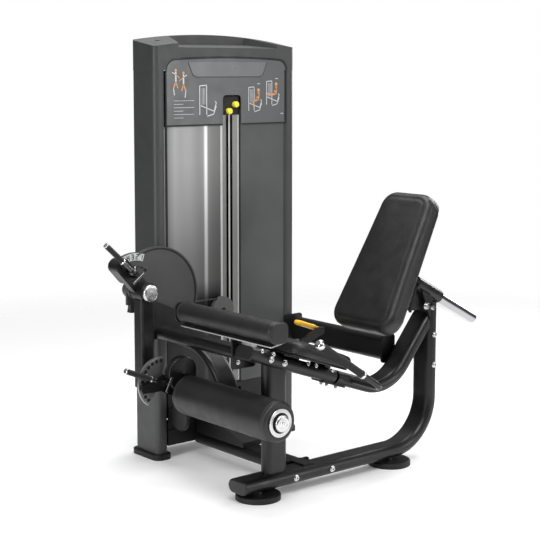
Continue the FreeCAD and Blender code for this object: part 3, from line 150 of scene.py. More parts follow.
def finish(name, colour, rough, metal=0.0, mottle=0.16, spread=0.07, grain=1.0, depth=0.02,
           cells=False, stretch=(1, 1, 1), scuffs=0.25, specular=0.5):
    """A surface with cloudy colour and gloss, a fine grain in its bump, and thin scuffs."""
    material = bpy.data.materials.new(name)
    material.use_nodes = True
    tree = material.node_tree
    shader = tree.nodes["Principled BSDF"]
    shader.inputs["Metallic"].default_value = metal
    shader.inputs["Specular IOR Level"].default_value = specular
    lined = mapped(tree, stretch)
    cloud = ranged(tree, noise_at(tree, lined, CLOUD_SCALE), *NOISE_SPAN, 0.0, 1.0)
    base = mixed(tree, cloud, tinted(colour, 1 - mottle), tinted(colour, 1 + mottle))
    scratch = noise_at(tree, mapped(tree, SCRATCH_LINES), SCRATCH_SCALE, 6.0)
    scratched = ranged(tree, scratch, *SCRATCH_EDGE, 0.0, scuffs)
    base = mixed(tree, scratched, base, tinted(colour, SCRATCH_LIFT))
    tree.links.new(base, shader.inputs["Base Color"])
    shine = noise_at(tree, lined, GLOSS_SCALE, 5.0)
    gloss = ranged(tree, shine, *NOISE_SPAN, rough - spread, rough + spread)
    tree.links.new(gloss, shader.inputs["Roughness"])
    scale = 1 / (grain * MM)
    if cells:
        grains = add_node(tree, "TexVoronoi", Scale=scale)
        grains.feature = "DISTANCE_TO_EDGE"
        tree.links.new(lined, grains.inputs["Vector"])
        height = ranged(tree, grains.outputs["Distance"], 0.0, 0.25, 0.0, 1.0)
    else:
        height = noise_at(tree, lined, scale, 2.0)
    bump = add_node(tree, "Bump", Strength=0.6, Distance=depth * MM)
    tree.links.new(height, bump.inputs["Height"])
    tree.links.new(bump.outputs["Normal"], shader.inputs["Normal"])
    return material


BRUSHED_UP = (1, 1, 0.006)

MATERIALS = {
    "frame_paint": finish("satin_black_paint", (0.006, 0.006, 0.0065), 0.36, grain=0.7, depth=0.02,
                          specular=0.42),
    "tower_paint": finish("satin_charcoal_paint", (0.044, 0.045, 0.046), 0.46, grain=0.6, depth=0.02,
                          mottle=0.06),
    "chrome": finish("polished_chrome", (0.66, 0.66, 0.67), 0.12, metal=1.0, mottle=0.03, spread=0.04,
                     grain=5.0, depth=0.02, scuffs=0.1),
    "plate_iron": finish("painted_iron", (0.014, 0.014, 0.015), 0.46, grain=1.6, depth=0.12),
    "arc_steel": finish("satin_arc_steel", (0.42, 0.42, 0.42), 0.36, metal=1.0, grain=0.8, depth=0.02),
    "shin_paint": finish("satin_black_arm_paint", (0.005, 0.005, 0.0055), 0.36, grain=0.7, depth=0.02,
                         specular=0.38),
    "vinyl": finish("black_leatherette", (0.007, 0.007, 0.0075), 0.42, grain=1.5, depth=0.16, cells=True,
                    mottle=0.22, scuffs=0.05, specular=0.5),
    "rubber": finish("moulded_rubber", (0.007, 0.007, 0.007), 0.55, grain=0.9, depth=0.08, scuffs=0.1,
                     specular=0.4),
    "plastic": finish("textured_plastic", (0.009, 0.009, 0.0095), 0.46, grain=0.6, depth=0.05, scuffs=0.1),
    "yellow": finish("yellow_knob_plastic", (0.86, 0.74, 0.04), 0.30, mottle=0.05, depth=0.01, scuffs=0.05),
    "amber": finish("amber_lever_plastic", (0.86, 0.46, 0.02), 0.34, mottle=0.08, depth=0.02, scuffs=0.1),
    "cable": finish("coated_cable", (0.018, 0.018, 0.018), 0.40, grain=1.2, depth=0.25, cells=True,
                    scuffs=0.0),
}
PLACARD_FACE = finish("placard_face", (0.085, 0.090, 0.092), 0.34, mottle=0.05, depth=0.01, scuffs=0.05)
PLACARD_BAND = finish("placard_band", (0.130, 0.136, 0.138), 0.34, mottle=0.05, depth=0.01, scuffs=0.05)
PANEL_GREY = finish("satin_grey_panel", (0.068, 0.070, 0.070), 0.42, mottle=0.08, grain=0.7, depth=0.02)
PRINT_WHITE = finish("white_print", (0.60, 0.61, 0.61), 0.45, mottle=0.05, depth=0.01, scuffs=0.0)
PRINT_WARM = finish("warm_print", (0.62, 0.30, 0.12), 0.45, mottle=0.08, depth=0.01, scuffs=0.0)
PRINT_DARK = finish("dark_print", (0.02, 0.02, 0.02), 0.5, mottle=0.05, depth=0.01, scuffs=0.0)
# Lighter grey painted as the highlight on the near upright's rounded bevel.
BEVEL_PAINTED_HIGHLIGHT = finish("upright_bevel_highlight_paint", (0.13, 0.13, 0.132), 0.36, mottle=0.06, depth=0.01, scuffs=0.05)
# Flat near-black: painted shade in gaps, grooves, holes and the knob recess; also the seat tube's strip and
# the slot's dark edge.
SLOT_DARK = finish("slot_dark", (0.006, 0.006, 0.006), 0.6, depth=0.02, scuffs=0.0)
STRIP_GREY = finish("slot_strip_grey", (0.22, 0.22, 0.215), 0.4, mottle=0.05, depth=0.02, scuffs=0.05)
TRIM_LIGHT = finish("bright_trim", (0.52, 0.52, 0.51), 0.3, mottle=0.05, depth=0.01, scuffs=0.05)
BAR_CHROME = finish("slide_bar_chrome", (0.40, 0.40, 0.41), 0.15, metal=1.0, mottle=0.05, spread=0.04,
                    grain=5.0, depth=0.02, scuffs=0.1)
DARK_STEEL = finish("dark_plated_steel", (0.10, 0.10, 0.105), 0.24, metal=1.0, mottle=0.06, spread=0.05,
                    grain=3.0, depth=0.02, scuffs=0.1)
CAM_CHARCOAL = finish("cam_charcoal", (0.056, 0.056, 0.057), 0.42, mottle=0.10, grain=0.7, depth=0.03)
PULLEY_GREY = finish("pulley_nylon", (0.11, 0.11, 0.11), 0.5, mottle=0.08, depth=0.02, scuffs=0.1)
CAP_ALUMINIUM = finish("turned_aluminium", (0.62, 0.62, 0.62), 0.28, metal=1.0, mottle=0.04, grain=0.8,
                       depth=0.02, scuffs=0.1)
COVER_BLACK = finish("satin_black_cover", (0.007, 0.007, 0.0075), 0.44, grain=0.6, depth=0.03,
                     specular=0.35)

# Grey over the left panel's width, from its outer edge to the slot: a painted reflection, lighter towards
# the outer edge, and the step near 0.7 is a painted highlight band.
PANEL_PAINTED_REFLECTION = ((0.0, 0.44), (0.15, 0.88), (0.42, 0.84), (0.60, 0.62), (0.655, 0.66), (0.685, 2.0),
               (0.712, 2.0), (0.74, 0.58), (0.82, 0.44), (1.0, 0.38))
# Painted shade: the panel darkens downwards between two heights in metres, to a share of its brightness.
PANEL_PAINTED_SHADE = ((0.60, 1.15, 0.55), (0.60, 0.68, 0.10))


def steel_with_painted_light():
    """Brushed panel steel with painted light: lighter towards the tower's edge as a painted reflection, one
    painted highlight band, and painted shade downwards.
    """
    material = finish("brushed_panel_painted_light", (0.8, 0.81, 0.80), 0.42, metal=0.35, mottle=0.10, grain=0.9,
                      depth=0.03, stretch=BRUSHED_UP, scuffs=0.1)
    tree = material.node_tree
    shader = tree.nodes["Principled BSDF"]
    brushed = shader.inputs["Base Color"].links[0].from_socket
    coords = tree.nodes.new("ShaderNodeTexCoord")
    split = tree.nodes.new("ShaderNodeSeparateXYZ")
    tree.links.new(coords.outputs["Object"], split.inputs["Vector"])
    left, right = ((x - ORIGIN.x) * MM for x in LEFT_PANEL_X)
    across = ranged(tree, split.outputs["X"], left, right, 0.0, 1.0)
    # Painted reflection and painted highlight band across the panel's width, put into the base colour.
    ramp = tree.nodes.new("ShaderNodeValToRGB")
    tree.links.new(across, ramp.inputs["Fac"])
    while len(ramp.color_ramp.elements) < len(PANEL_PAINTED_REFLECTION):
        ramp.color_ramp.elements.new(0.5)
    for element, (place, grey) in zip(ramp.color_ramp.elements, PANEL_PAINTED_REFLECTION):
        level = grey / 2
        element.position = place
        element.color = (level, level, level, 1)
    # Painted shade: the panel's base colour darkens towards the bottom.
    fades = []
    for low, high, dim in PANEL_PAINTED_SHADE:
        fade = tree.nodes.new("ShaderNodeCombineXYZ")
        height = ranged(tree, split.outputs["Z"], low, high, dim, 1.0)
        for axis in "XYZ":
            tree.links.new(height, fade.inputs[axis])
        fades.append(fade.outputs["Vector"])
    shade = brushed
    for factor in (ramp.outputs["Color"], *fades):
        product = tree.nodes.new("ShaderNodeVectorMath")
        product.operation = "MULTIPLY"
        tree.links.new(shade, product.inputs[0])
        tree.links.new(factor, product.inputs[1])
        shade = product.outputs["Vector"]
    tree.links.new(shade, shader.inputs["Base Color"])
    return material


# ---------------------------------------------------------------- building pieces
def square_to(axis):
    """Two directions square to an axis and to each other."""
    axis = axis.normalized()
    side = axis.cross(Z if abs(axis.z) < 0.9 else X).normalized()
    return side, axis.cross(side).normalized()


def smooth(a, b, t):
    t = max(0.0, min(1.0, (t - a) / (b - a)))
    return t * t * (3 - 2 * t)


class Shape:
    """Faces of one piece, gathered in millimetres of the layout."""

    def __init__(self):
        self.mesh = bmesh.new()

    def loft(self, rings):
        """A closed skin over rings of points, flat at both ends."""
        rows = [[self.mesh.verts.new(p) for p in ring] for ring in rings]
        count = len(rows[0])
        for a, b in zip(rows, rows[1:]):
            for i in range(count):
                j = (i + 1) % count
                self.mesh.faces.new((a[i], a[j], b[j], b[i]))
        self.mesh.faces.new(list(reversed(rows[0])))
        self.mesh.faces.new(rows[-1])
        return self

    def turned(self, start, axis, profile, steps=40):
        """A turned form: profile is a list of (distance along the axis, radius)."""
        side, up = square_to(axis)
        axis = axis.normalized()
        rings = []
        for along, radius in profile:
            ring = []
            for i in range(steps):
                angle = 2 * math.pi * i / steps
                ring.append(start + axis * along + (side * math.cos(angle) + up * math.sin(angle)) * radius)
            rings.append(ring)
        return self.loft(rings)

    def slab(self, outline, depth):
        """A flat plate: the outline's points, and the same points moved by depth."""
        return self.loft([outline, [p + depth for p in outline]])

    def tube(self, points, radius, steps=16):
        """A round bar through smooth points, with flat ends."""
        rings = []
        side = None
        for i, point in enumerate(points):
            ahead = points[min(i + 1, len(points) - 1)] - points[max(i - 1, 0)]
            ahead.normalize()
            if side is None:
                side, up = square_to(ahead)
            side = (side - ahead * side.dot(ahead)).normalized()
            up = ahead.cross(side)
            turn = [2 * math.pi * k / steps for k in range(steps)]
            rings.append([point + (side * math.cos(a) + up * math.sin(a)) * radius for a in turn])
        return self.loft(rings)

    def piece(self, name, material, body=FRAME_BODY, slot=None, replaces=(), edge=0.0, sharp=35):
        """Turns the faces into an object that rides on a body and stands in for CAD nodes."""
        bmesh.ops.recalc_face_normals(self.mesh, faces=self.mesh.faces)
        bmesh.ops.translate(self.mesh, verts=self.mesh.verts, vec=-ORIGIN)
        bmesh.ops.scale(self.mesh, verts=self.mesh.verts, vec=(MM, MM, MM))
        data = bpy.data.meshes.new(name)
        self.mesh.to_mesh(data)
        self.mesh.free()
        obj = bpy.data.objects.new(name, data)
        bpy.context.scene.collection.objects.link(obj)
        data.materials.append(material)
        if edge:
            bevel = obj.modifiers.new("edge", "BEVEL")
            bevel.width = edge * MM
            bevel.segments = 2
            bevel.limit_method = "ANGLE"
            bevel.angle_limit = math.radians(40)
        data.polygons.foreach_set("use_smooth", [True] * len(data.polygons))
        data.set_sharp_from_angle(angle=math.radians(sharp))
        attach(obj, body)
        if replaces:
            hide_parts(*replaces)
        return obj


# ---------------------------------------------------------------- padding
OUTLINE_POINTS = 160
PAD_VOXEL = 5.5
PAD_SWELL = 4
WELT_DEPTH = 1.3
WELT_WIDTH = 1.8
RIPPLE_SCALE = 0.017
RIPPLE_DEPTH = 0.7


def pad_outline(half_len, half_low, half_high, radius, steps=12):
    """Corner-rounded outline of a pad in its own plane, narrower at its high end."""
    corners = [(-half_len, -half_low), (half_len, -half_high), (half_len, half_high), (-half_len, half_low)]
    points = []
    for i, (x, y) in enumerate(corners):
        corner = Vector((x, y))
        before = Vector(corners[i - 1]) - corner
        after = Vector(corners[(i + 1) % 4]) - corner
        half = before.angle(after) / 2
        bisector = (before.normalized() + after.normalized()).normalized()
        centre = corner + bisector * (radius / math.sin(half))
        first = math.atan2(*reversed(corner + before.normalized() * radius / math.tan(half) - centre))
        last = math.atan2(*reversed(corner + after.normalized() * radius / math.tan(half) - centre))
        sweep = (last - first + math.pi) % (2 * math.pi) - math.pi
        for k in range(steps + 1):
            angle = first + sweep * k / steps
            points.append(centre + Vector((math.cos(angle), math.sin(angle))) * radius)
    return resampled(points, OUTLINE_POINTS)


def resampled(points, count):
    """The same closed outline with evenly spread points."""
    total = [0.0]
    for a, b in zip(points, points[1:] + points[:1]):
        total.append(total[-1] + (b - a).length)
    out = []
    k = 0
    for i in range(count):
        want = total[-1] * i / count
        while total[k + 1] < want:
            k += 1
        a, b = points[k], points[(k + 1) % len(points)]
        out.append(a.lerp(b, (want - total[k]) / max(1e-9, total[k + 1] - total[k])))
    return out


def inset(points, amount):
    """An outline moved inwards."""
    out = []
    for i, p in enumerate(points):
        ahead = (points[(i + 1) % len(points)] - points[i - 1]).normalized()
        out.append(p + Vector((-ahead.y, ahead.x)) * amount)
    return out


def pad_shape(outline, thick, edge, crown, back_edge):
    """A crowned cushion form: rings from the middle of its back to the middle of its face."""
    levels = []
    for k in range(6):
        angle = math.pi / 2 * k / 5
        levels.append((back_edge * (1 - math.sin(angle)), back_edge * (1 - math.cos(angle))))
    for k in range(7):
        angle = math.pi / 2 * k / 6
        levels.append((edge * (1 - math.cos(angle)), thick - crown - edge * (1 - math.sin(angle))))
    rings = []
    base = inset(outline, back_edge)
    middle = Vector((sum(p.x for p in base) / len(base), sum(p.y for p in base) / len(base)))
    shrink = (0.12, 0.35, 0.6, 0.85)
    rings += [[(middle.lerp(p, s), 0.0) for p in base] for s in shrink]
    rings += [[(p, height) for p in inset(outline, amount)] for amount, height in levels]
    top = inset(outline, edge)
    for s in reversed(shrink + (0.96,)):
        rise = thick - crown * smooth(0.0, 1.0, s) ** 2
        rings.append([(middle.lerp(p, s), rise) for p in top])
    return rings


def laid(rings, centre, along, across, up):
    return [[centre + along * p.x + across * p.y + up * h for p, h in ring] for ring in rings]


def settled(shifts, data, rounds=30):
    """Evens the cloth's movement out over the mesh, as firm foam under the cover does."""
    neighbours = [[] for _ in shifts]
    for edge in data.edges:
        first, second = edge.vertices
        neighbours[first].append(second)
        neighbours[second].append(first)
    for _ in range(rounds):
        shifts = [sum((shifts[n] for n in near), own) / (len(near) + 1)
                  for own, near in zip(shifts, neighbours)]
    return shifts


def puffed(obj, voxel, cap, pressure=4.0, frames=20):
    """Blows a closed pad up a little as cloth, so that its faces crown and its sides pull in."""
    bpy.context.view_layer.objects.active = obj
    remesh = obj.modifiers.new("remesh", "REMESH")
    remesh.mode = "VOXEL"
    remesh.voxel_size = voxel * MM
    apply_modifiers(obj)
    cloth = obj.modifiers.new("cloth", "CLOTH")
    cloth.settings.use_pressure = True
    cloth.settings.uniform_pressure_force = pressure
    cloth.settings.effector_weights.gravity = 0.0
    cloth.settings.quality = 4
    cloth.settings.mass = 0.4
    cloth.settings.tension_stiffness = 60
    cloth.settings.compression_stiffness = 60
    cloth.settings.bending_stiffness = 20
    cloth.point_cache.frame_start = 1
    cloth.point_cache.frame_end = frames
    rest = [v.co.copy() for v in obj.data.vertices]
    for step in range(1, frames + 1):
        bpy.context.scene.frame_set(step)
    graph = bpy.context.evaluated_depsgraph_get()
    moved = [v.co.copy() for v in obj.evaluated_get(graph).data.vertices]
    obj.modifiers.remove(cloth)
    bpy.context.scene.frame_set(1)
    shifts = settled([new - old for old, new in zip(rest, moved)], obj.data)
    for vertex, old, shift in zip(obj.data.vertices, rest, shifts):
        vertex.co = old + shift * (cap * MM / (cap * MM + shift.length))
    soften = obj.modifiers.new("soften", "SMOOTH")
    soften.factor = 0.5
    soften.iterations = 6
    obj.modifiers.new("round", "SUBSURF").levels = 1
    apply_modifiers(obj)


def apply_modifiers(obj):
    graph = bpy.context.evaluated_depsgraph_get()
    data = bpy.data.meshes.new_from_object(obj.evaluated_get(graph))
    obj.modifiers.clear()
    obj.data = data
    data.polygons.foreach_set("use_smooth", [True] * len(data.polygons))


def outline_distance(point, outline):
    """How far a point in the pad's plane is from the outline."""
    best = 1e9
    for a, b in zip(outline, outline[1:] + outline[:1]):
        run = b - a
        t = max(0.0, min(1.0, (point - a).dot(run) / max(1e-9, run.length_squared)))
        best = min(best, (point - a - run * t).length)
    return best


def sew(obj, outline, axes, thick, seam_in, seam_depth, seam_width, welt_height):
    """Presses the face's stitched channel and the welt line round the side into a finished pad."""
    centre, along, across, up = axes
    coarse = outline[::2]
    normals = [v.normal.copy() for v in obj.data.vertices]
    for vertex, normal in zip(obj.data.vertices, normals):
        local = vertex.co / MM + ORIGIN - centre
        flat = Vector((local.dot(along), local.dot(across)))
        height = local.dot(up)
        push = 0.0
        if height > thick * 0.45:
            away = outline_distance(flat, coarse) - seam_in
            push = seam_depth * math.exp(-(away / seam_width) ** 2)
            push *= smooth(thick * 0.5, thick * 0.8, height)
        push += WELT_DEPTH * math.exp(-((height - welt_height) / WELT_WIDTH) ** 2)
        ripple = noise.noise(Vector((flat.x, flat.y, height)) * RIPPLE_SCALE) * RIPPLE_DEPTH
        vertex.co = vertex.co - normal * (push - ripple) * MM
    obj.data.update()


def cushion(name, body, node, outline, axes, thick, edge, crown, back_edge, seam):
    """A padded, sewn cushion; axes are its middle, its two directions and the way its face looks."""
    centre, along, across, up = axes
    shape = Shape()
    shape.loft(laid(pad_shape(outline, thick, edge, crown, back_edge), centre, along, across, up))
    obj = shape.piece(name, MATERIALS["vinyl"], body, "vinyl", (node,))
    puffed(obj, PAD_VOXEL, PAD_SWELL)
    sew(obj, outline, axes, thick, **seam)
    return obj


def back_cushion():
    spare = 4
    outline = pad_outline(PAD_H / 2 - spare, PAD_HALF_LOW - spare, PAD_HALF_TOP - spare, radius=62)
    base = PAD_MID + PAD_BACK * (PAD_THICK / 2)
    axes = (base, PAD_UP, Y, PAD_BACK * -1)
    seam = {"seam_in": 28, "seam_depth": 1.9, "seam_width": 8.5, "welt_height": 12}
    return cushion("back_cushion", "backrest", "back_pad", outline, axes, thick=PAD_THICK - 2,
                   edge=26, crown=7, back_edge=8, seam=seam)


def seat_cushion():
    middle = SEAT_RAIL_MID + SEAT_ALONG * (SEAT_START + SEAT_LEN / 2) + SEAT_UP * SEAT_BASE
    spare = 3
    outline = pad_outline(SEAT_LEN / 2 - spare, SEAT_HALF_W - spare, SEAT_HALF_W - spare, radius=50)
    axes = (middle, SEAT_ALONG, Y, SEAT_UP)
    seam = {"seam_in": 22, "seam_depth": 2.4, "seam_width": 6, "welt_height": 10}
    return cushion("seat_pad", FRAME_BODY, "seat_cushion", outline, axes, thick=SEAT_THICK - 1,
                   edge=19, crown=6, back_edge=7, seam=seam)


def roll_profile(length, radius, edge, bulge):
    """End to end profile of an upholstered roll with a sewn end seam."""
    profile = [(0.8, radius * 0.30), (0.2, radius * 0.55), (0.0, radius - edge * 1.05)]
    for k in range(7):
        angle = math.pi / 2 * k / 6
        profile.append((edge * (1 - math.cos(angle)), radius - edge + edge * math.sin(angle) - 0.8))
    seam = edge + 2
    profile += [(seam, radius - 1.0), (seam + 1.4, radius - 2.0), (seam + 2.8, radius - 1.0)]
    steps = 22
    cover = seam + 5
    for k in range(steps + 1):
        t = k / steps
        profile.append((cover + (length / 2 - cover) * t, radius - 0.6 + bulge * smooth(0, 1, t)))
    mirrored = [(length - a, r) for a, r in reversed(profile[:-1])]
    return profile + mirrored


def upholstered_roll(name, node, body, centre, span, radius, edge):
    start = Vector((centre.x, span[0], centre.z))
    shape = Shape()
    shape.turned(start, Y, roll_profile(span[1] - span[0], radius, edge, bulge=0.5), 96)
    for vertex in shape.mesh.verts:
        out = Vector((vertex.co.x - centre.x, 0, vertex.co.z - centre.z))
        if out.length > radius * 0.6:
            broad = noise.noise(vertex.co * 0.02) * 0.7
            fine = noise.noise(vertex.co * 0.06) * 0.25
            vertex.co += out.normalized() * (broad + fine)
    obj = shape.piece(name, MATERIALS["vinyl"], body, "vinyl", (node,), sharp=70)
    return obj


# ---------------------------------------------------------------- hand grips
GRIP_R = 14
GRIP_RIBS = 44
GRIP_RIB_PITCH = 4.6
GRIP_ROD_R = 10.9
HANDLE_RIB_PITCH = 5
START_HANDLE_ROOT = PIVOT + Vector((-64, 474, 84))
START_HANDLE_ANGLE = 137.3
SHIN_HANDLE_ROOT = SHIN_PIVOT + Vector((0, 386, 0))
SHIN_HANDLE_ANGLE = 157.5


def grip_axis(side):
    """The grip's top, its foot and the direction down it, on one side of the seat."""
    top = Vector((GRIP_TOP.x, GRIP_TOP.y * side, GRIP_TOP.z))
    low = Vector((GRIP_LOW.x, GRIP_LOW.y * side, GRIP_LOW.z))
    return top, low, (low - top).normalized()


def ribbed_grips():
    """Rubber sleeves with shallow ribs between plain collars."""
    shape = Shape()
    for side in (-1, 1):
        top, _, down = grip_axis(side)
        profile = [(14, 11.5), (14, 13.2), (15, GRIP_R), (22, GRIP_R), (23, 13.2)]
        for k in range(GRIP_RIBS):
            along = 26 + k * GRIP_RIB_PITCH
            profile += [(along, 13.0), (along + 0.8, 13.9), (along + 3.0, 13.9), (along + 3.8, 13.0)]
        profile += [(229, 13.2), (230, GRIP_R), (237, GRIP_R), (238, 13.2), (238, 11.5)]
        shape.turned(top, down, profile, 32)
    return shape.piece("ribbed_hand_grips", MATERIALS["rubber"], FRAME_BODY, "rubber", ("hand_grips",))


def bent_line(first, corner, last, reach, steps=10):
    """Two straight runs joined by an even bend."""
    enter = corner + (first - corner).normalized() * reach
    leave = corner + (last - corner).normalized() * reach
    points = [first, first.lerp(enter, 0.5)]
    for k in range(steps + 1):
        t = k / steps
        points.append(enter.lerp(corner, t).lerp(corner.lerp(leave, t), t))
    return points + [last]


def grip_rods():
    """Bent rods from the grips to the seat tube, with a bright knob above and a ring below each grip."""
    rods, ends = Shape(), Shape()
    knob = [(-12, 6), (-11.4, 11), (-9, 15.5), (-5, 18.4), (0, 19), (5, 18), (6, 17), (6.2, 14), (7.5, 15),
            (12, 15), (13.8, 14.2), (13.8, GRIP_ROD_R)]
    ring = [(238.2, 11), (238.2, 14.6), (239.5, 15.5), (248, 15.5), (250, 14), (250, 11)]
    for side in (-1, 1):
        top, low, down = grip_axis(side)
        root = Vector((low.x + 6, side * 46, low.z + 1))
        rods.tube(bent_line(top + down * 13.5, low, root, 46), GRIP_ROD_R, 24)
        ends.turned(top, down, knob, 40)
        ends.turned(top, down, ring, 40)
    rods.piece("grip_rods", MATERIALS["frame_paint"], FRAME_BODY, "frame_paint", ("grip_tubes",))
    ends.piece("grip_end_rings", MATERIALS["chrome"], FRAME_BODY, "chrome", ("grip_tubes",))


def direction(degrees):
    """A direction in the plane that the arms swing in."""
    angle = math.radians(degrees)
    return Vector((math.cos(angle), 0, math.sin(angle)))


def lever_handle(name, node, body, root, degrees, rod_start, grip_span, stub=None):
    """Dark steel rod with chrome collars and a domed chrome end, and a ribbed black grip over it."""
    out = direction(degrees)
    rod, grip, bright = Shape(), Shape(), Shape()
    start, end = grip_span
    collar, dome = start - 7, end - 7
    rod.turned(root, out, [(rod_start, 7.5), (collar, 7.5), (collar, 5)], 32)
    bright.turned(root, out, [(collar, 6), (collar, 11), (start - 6, 12), (start - 1, 12),
                              (start - 0.2, 11), (start - 0.2, 4)], 32)
    bright.turned(root, out, [(dome, 5), (dome, 9.6), (end - 5, 10.3), (end - 2, 9.6), (end, 6.5)], 32)
    if stub:
        rod.turned(*stub, 32)
    profile = [(start, 8), (start, 9.6), (start + 1.5, 10.4)]
    ribs = int((end - start - 14) / HANDLE_RIB_PITCH)
    for k in range(ribs):
        along = start + 4 + k * HANDLE_RIB_PITCH
        profile += [(along, 9.7), (along + 0.9, 10.4), (along + 3.2, 10.4), (along + 4.1, 9.7)]
    profile += [(end - 8, 10.3), (end - 7.2, 9.6), (end - 7.2, 5)]
    grip.turned(root, out, profile, 32)
    rod.piece(name + "_rod", DARK_STEEL, body, "chrome", (node,))
    bright.piece(name + "_bright_ends", MATERIALS["chrome"], body, "chrome", (node,))
    grip.piece(name + "_grip", MATERIALS["rubber"], body, "rubber", (node,))


def lever_handles():
    stub = (START_HANDLE_ROOT, Y, [(-10, 9), (-9, 12), (-7, 13), (26, 13), (26, 6)])
    lever_handle("start_handle", "start_handle", "lever", START_HANDLE_ROOT, START_HANDLE_ANGLE,
                 rod_start=4, grip_span=(66, 162), stub=stub)
    lever_handle("shin_handle", "shin_handle", "shin", SHIN_HANDLE_ROOT, SHIN_HANDLE_ANGLE,
                 rod_start=31, grip_span=(60, 178))


# ---------------------------------------------------------------- placard and labels
def plate_on(shape, x0, x1, z0, z1, y, depth):
    """A thin upright strip on a face that looks towards the seat."""
    outline = [Vector((x0, y, z0)), Vector((x1, y, z0)), Vector((x1, y, z1)), Vector((x0, y, z1))]
    return shape.slab(outline, Vector((0, -depth, 0)))


def stroke(shape, a, b, width, y):
    """A thin printed line between two points (x, z)."""
    a, b = Vector(a), Vector(b)
    run = (b - a).normalized()
    side = Vector((-run.y, run.x)) * width / 2
    corners = [a - side, b - side, b + side, a + side]
    return shape.slab([Vector((c.x, y, c.y)) for c in corners], Vector((0, -PRINT_DEPTH, 0)))


def disc_print(shape, centre, radius, y):
    """A thin printed dot round a point (x, z)."""
    steps = 18
    ring = []
    for i in range(steps):
        angle = 2 * math.pi * i / steps
        ring.append(Vector((centre[0] + radius * math.cos(angle), y, centre[1] + radius * math.sin(angle))))
    return shape.slab(ring, Vector((0, -PRINT_DEPTH, 0)))


def machine_sign(white, x, z, size):
    """A line drawing of a tower and a seat frame."""
    s = size
    y = PLACARD_Y
    for dx in (0.0, 0.30):
        stroke(white, (x + dx * s, z), (x + dx * s, z + s), 0.032 * s, y)
    stroke(white, (x, z + s), (x + 0.3 * s, z + s * 1.02), 0.034 * s, y)
    for dx in (0.1, 0.16, 0.22):
        stroke(white, (x + dx * s, z + 0.35 * s), (x + dx * s, z + 0.92 * s), 0.014 * s, y)
    line = [(0.05, 0.32), (0.34, 0.22), (0.62, 0.12), (0.72, 0.42), (0.66, 0.46)]
    for a, b in zip(line, line[1:]):
        stroke(white, (x + a[0] * s, z + a[1] * s), (x + b[0] * s, z + b[1] * s), 0.034 * s, y)
    stroke(white, (x + 0.32 * s, z - 0.05 * s), (x + 0.6 * s, z + 0.02 * s), 0.034 * s, y)
    stroke(white, (x + 0.6 * s, z + 0.02 * s), (x + 0.72 * s, z + 0.3 * s), 0.03 * s, y)


def figure_sign(warm, x, z, size, reach):
    """A plain seated figure: head, back, thigh, shin and arm; reach is the shin's run from the knee."""
    s = size
    y = PLACARD_Y - 0.1
    knee = (x - 0.26 * s, z + 0.40 * s)
    disc_print(warm, (x, z + 0.86 * s), 0.075 * s, y)
    stroke(warm, (x, z + 0.76 * s), (x - 0.03 * s, z + 0.42 * s), 0.11 * s, y)
    stroke(warm, (x - 0.02 * s, z + 0.44 * s), knee, 0.09 * s, y)
    stroke(warm, knee, (knee[0] + reach[0] * s, knee[1] + reach[1] * s), 0.07 * s, y)
    stroke(warm, (x, z + 0.70 * s), (x - 0.12 * s, z + 0.52 * s), 0.05 * s, y)


def muscle_figure(white, warm, x, z, lean):
    """A small standing figure in two colours: head, trunk, arms and legs."""
    y = PLACARD_Y
    disc_print(warm, (x, z + 60), 5.5, y)
    stroke(white, (x, z + 54), (x, z + 16), 6.5, y)
    stroke(warm, (x, z + 44), (x - 19 * lean, z + 30), 3.2, y)
    stroke(white, (x, z + 44), (x + 17 * lean, z + 52), 3.2, y)
    stroke(warm, (x, z + 16), (x + 11 * lean, z - 8), 5.5, y)
    stroke(white, (x + 11 * lean, z - 8), (x + 7 * lean, z - 34), 3.5, y)
    stroke(warm, (x, z + 16), (x - 9 * lean, z - 8), 5, y)


def placard_prints():
    """Plain signs in place of the real placard's text: a title band, drawings, figures and lines."""
    white, warm, band, edge_line = Shape(), Shape(), Shape(), Shape()
    corners = ((150, 1532), (172, 1482), (188, 1474), (504, 1474), (520, 1482), (542, 1532))
    band.slab([Vector((x, PLACARD_Y, z)) for x, z in corners], Vector((0, -BAND_DEPTH, 0)))
    for a, b in zip(corners, corners[1:]):
        stroke(edge_line, a, b, 2.6, PLACARD_Y - PRINT_DEPTH)
    band.piece("title_band", PLACARD_BAND)
    edge_line.piece("title_band_outline", PRINT_DARK)
    machine_sign(white, 205, 1328, 112)
    machine_sign(white, 448, 1340, 92)
    machine_sign(white, 540, 1363, 92)
    figure_sign(warm, 498, 1342, 92, (-0.02, -0.26))
    figure_sign(warm, 590, 1365, 92, (-0.26, 0.04))
    muscle_figure(white, warm, 92, 1440, -1)
    muscle_figure(white, warm, 128, 1430, 1)
    left, top, pitch = 82, 1384, 13
    for row in range(6):
        length = 96 if row % 2 == 0 else 44
        z = top - row * pitch
        stroke(white, (left, z), (left + length, z), 1.5, PLACARD_Y)
    for x, z in ((492, 1446), (586, 1466), (614, 1326)):
        stroke(white, (x, z), (x + 14, z), 2.6, PLACARD_Y)
    white.piece("placard_line_drawings", PRINT_WHITE)
    warm.piece("placard_figures", PRINT_WARM)


def digit_strokes(digit):
    """A numeral's strokes, in a cell that is 1 wide and 2 high."""
    segments = {"a": ((0, 2), (1, 2)), "b": ((1, 2), (1, 1)), "c": ((1, 1), (1, 0)), "d": ((0, 0), (1, 0)),
                "e": ((0, 0), (0, 1)), "f": ((0, 1), (0, 2)), "g": ((0, 1), (1, 1))}
    shown = {1: "bc", 2: "abged", 3: "abgcd", 4: "fgbc", 5: "afgcd"}[digit]
    return [segments[key] for key in shown]


def arc_band(centre, first, last, start_radius, end_radius, count):
    """Outline of a curved band: out along one radius and back along the other, between two angles."""
    turns = [first + (last - first) * k / count for k in range(count + 1)]
    there = [centre + direction(turn) * start_radius for turn in turns]
    back = [centre + direction(turn) * end_radius for turn in reversed(turns)]
    return there + back


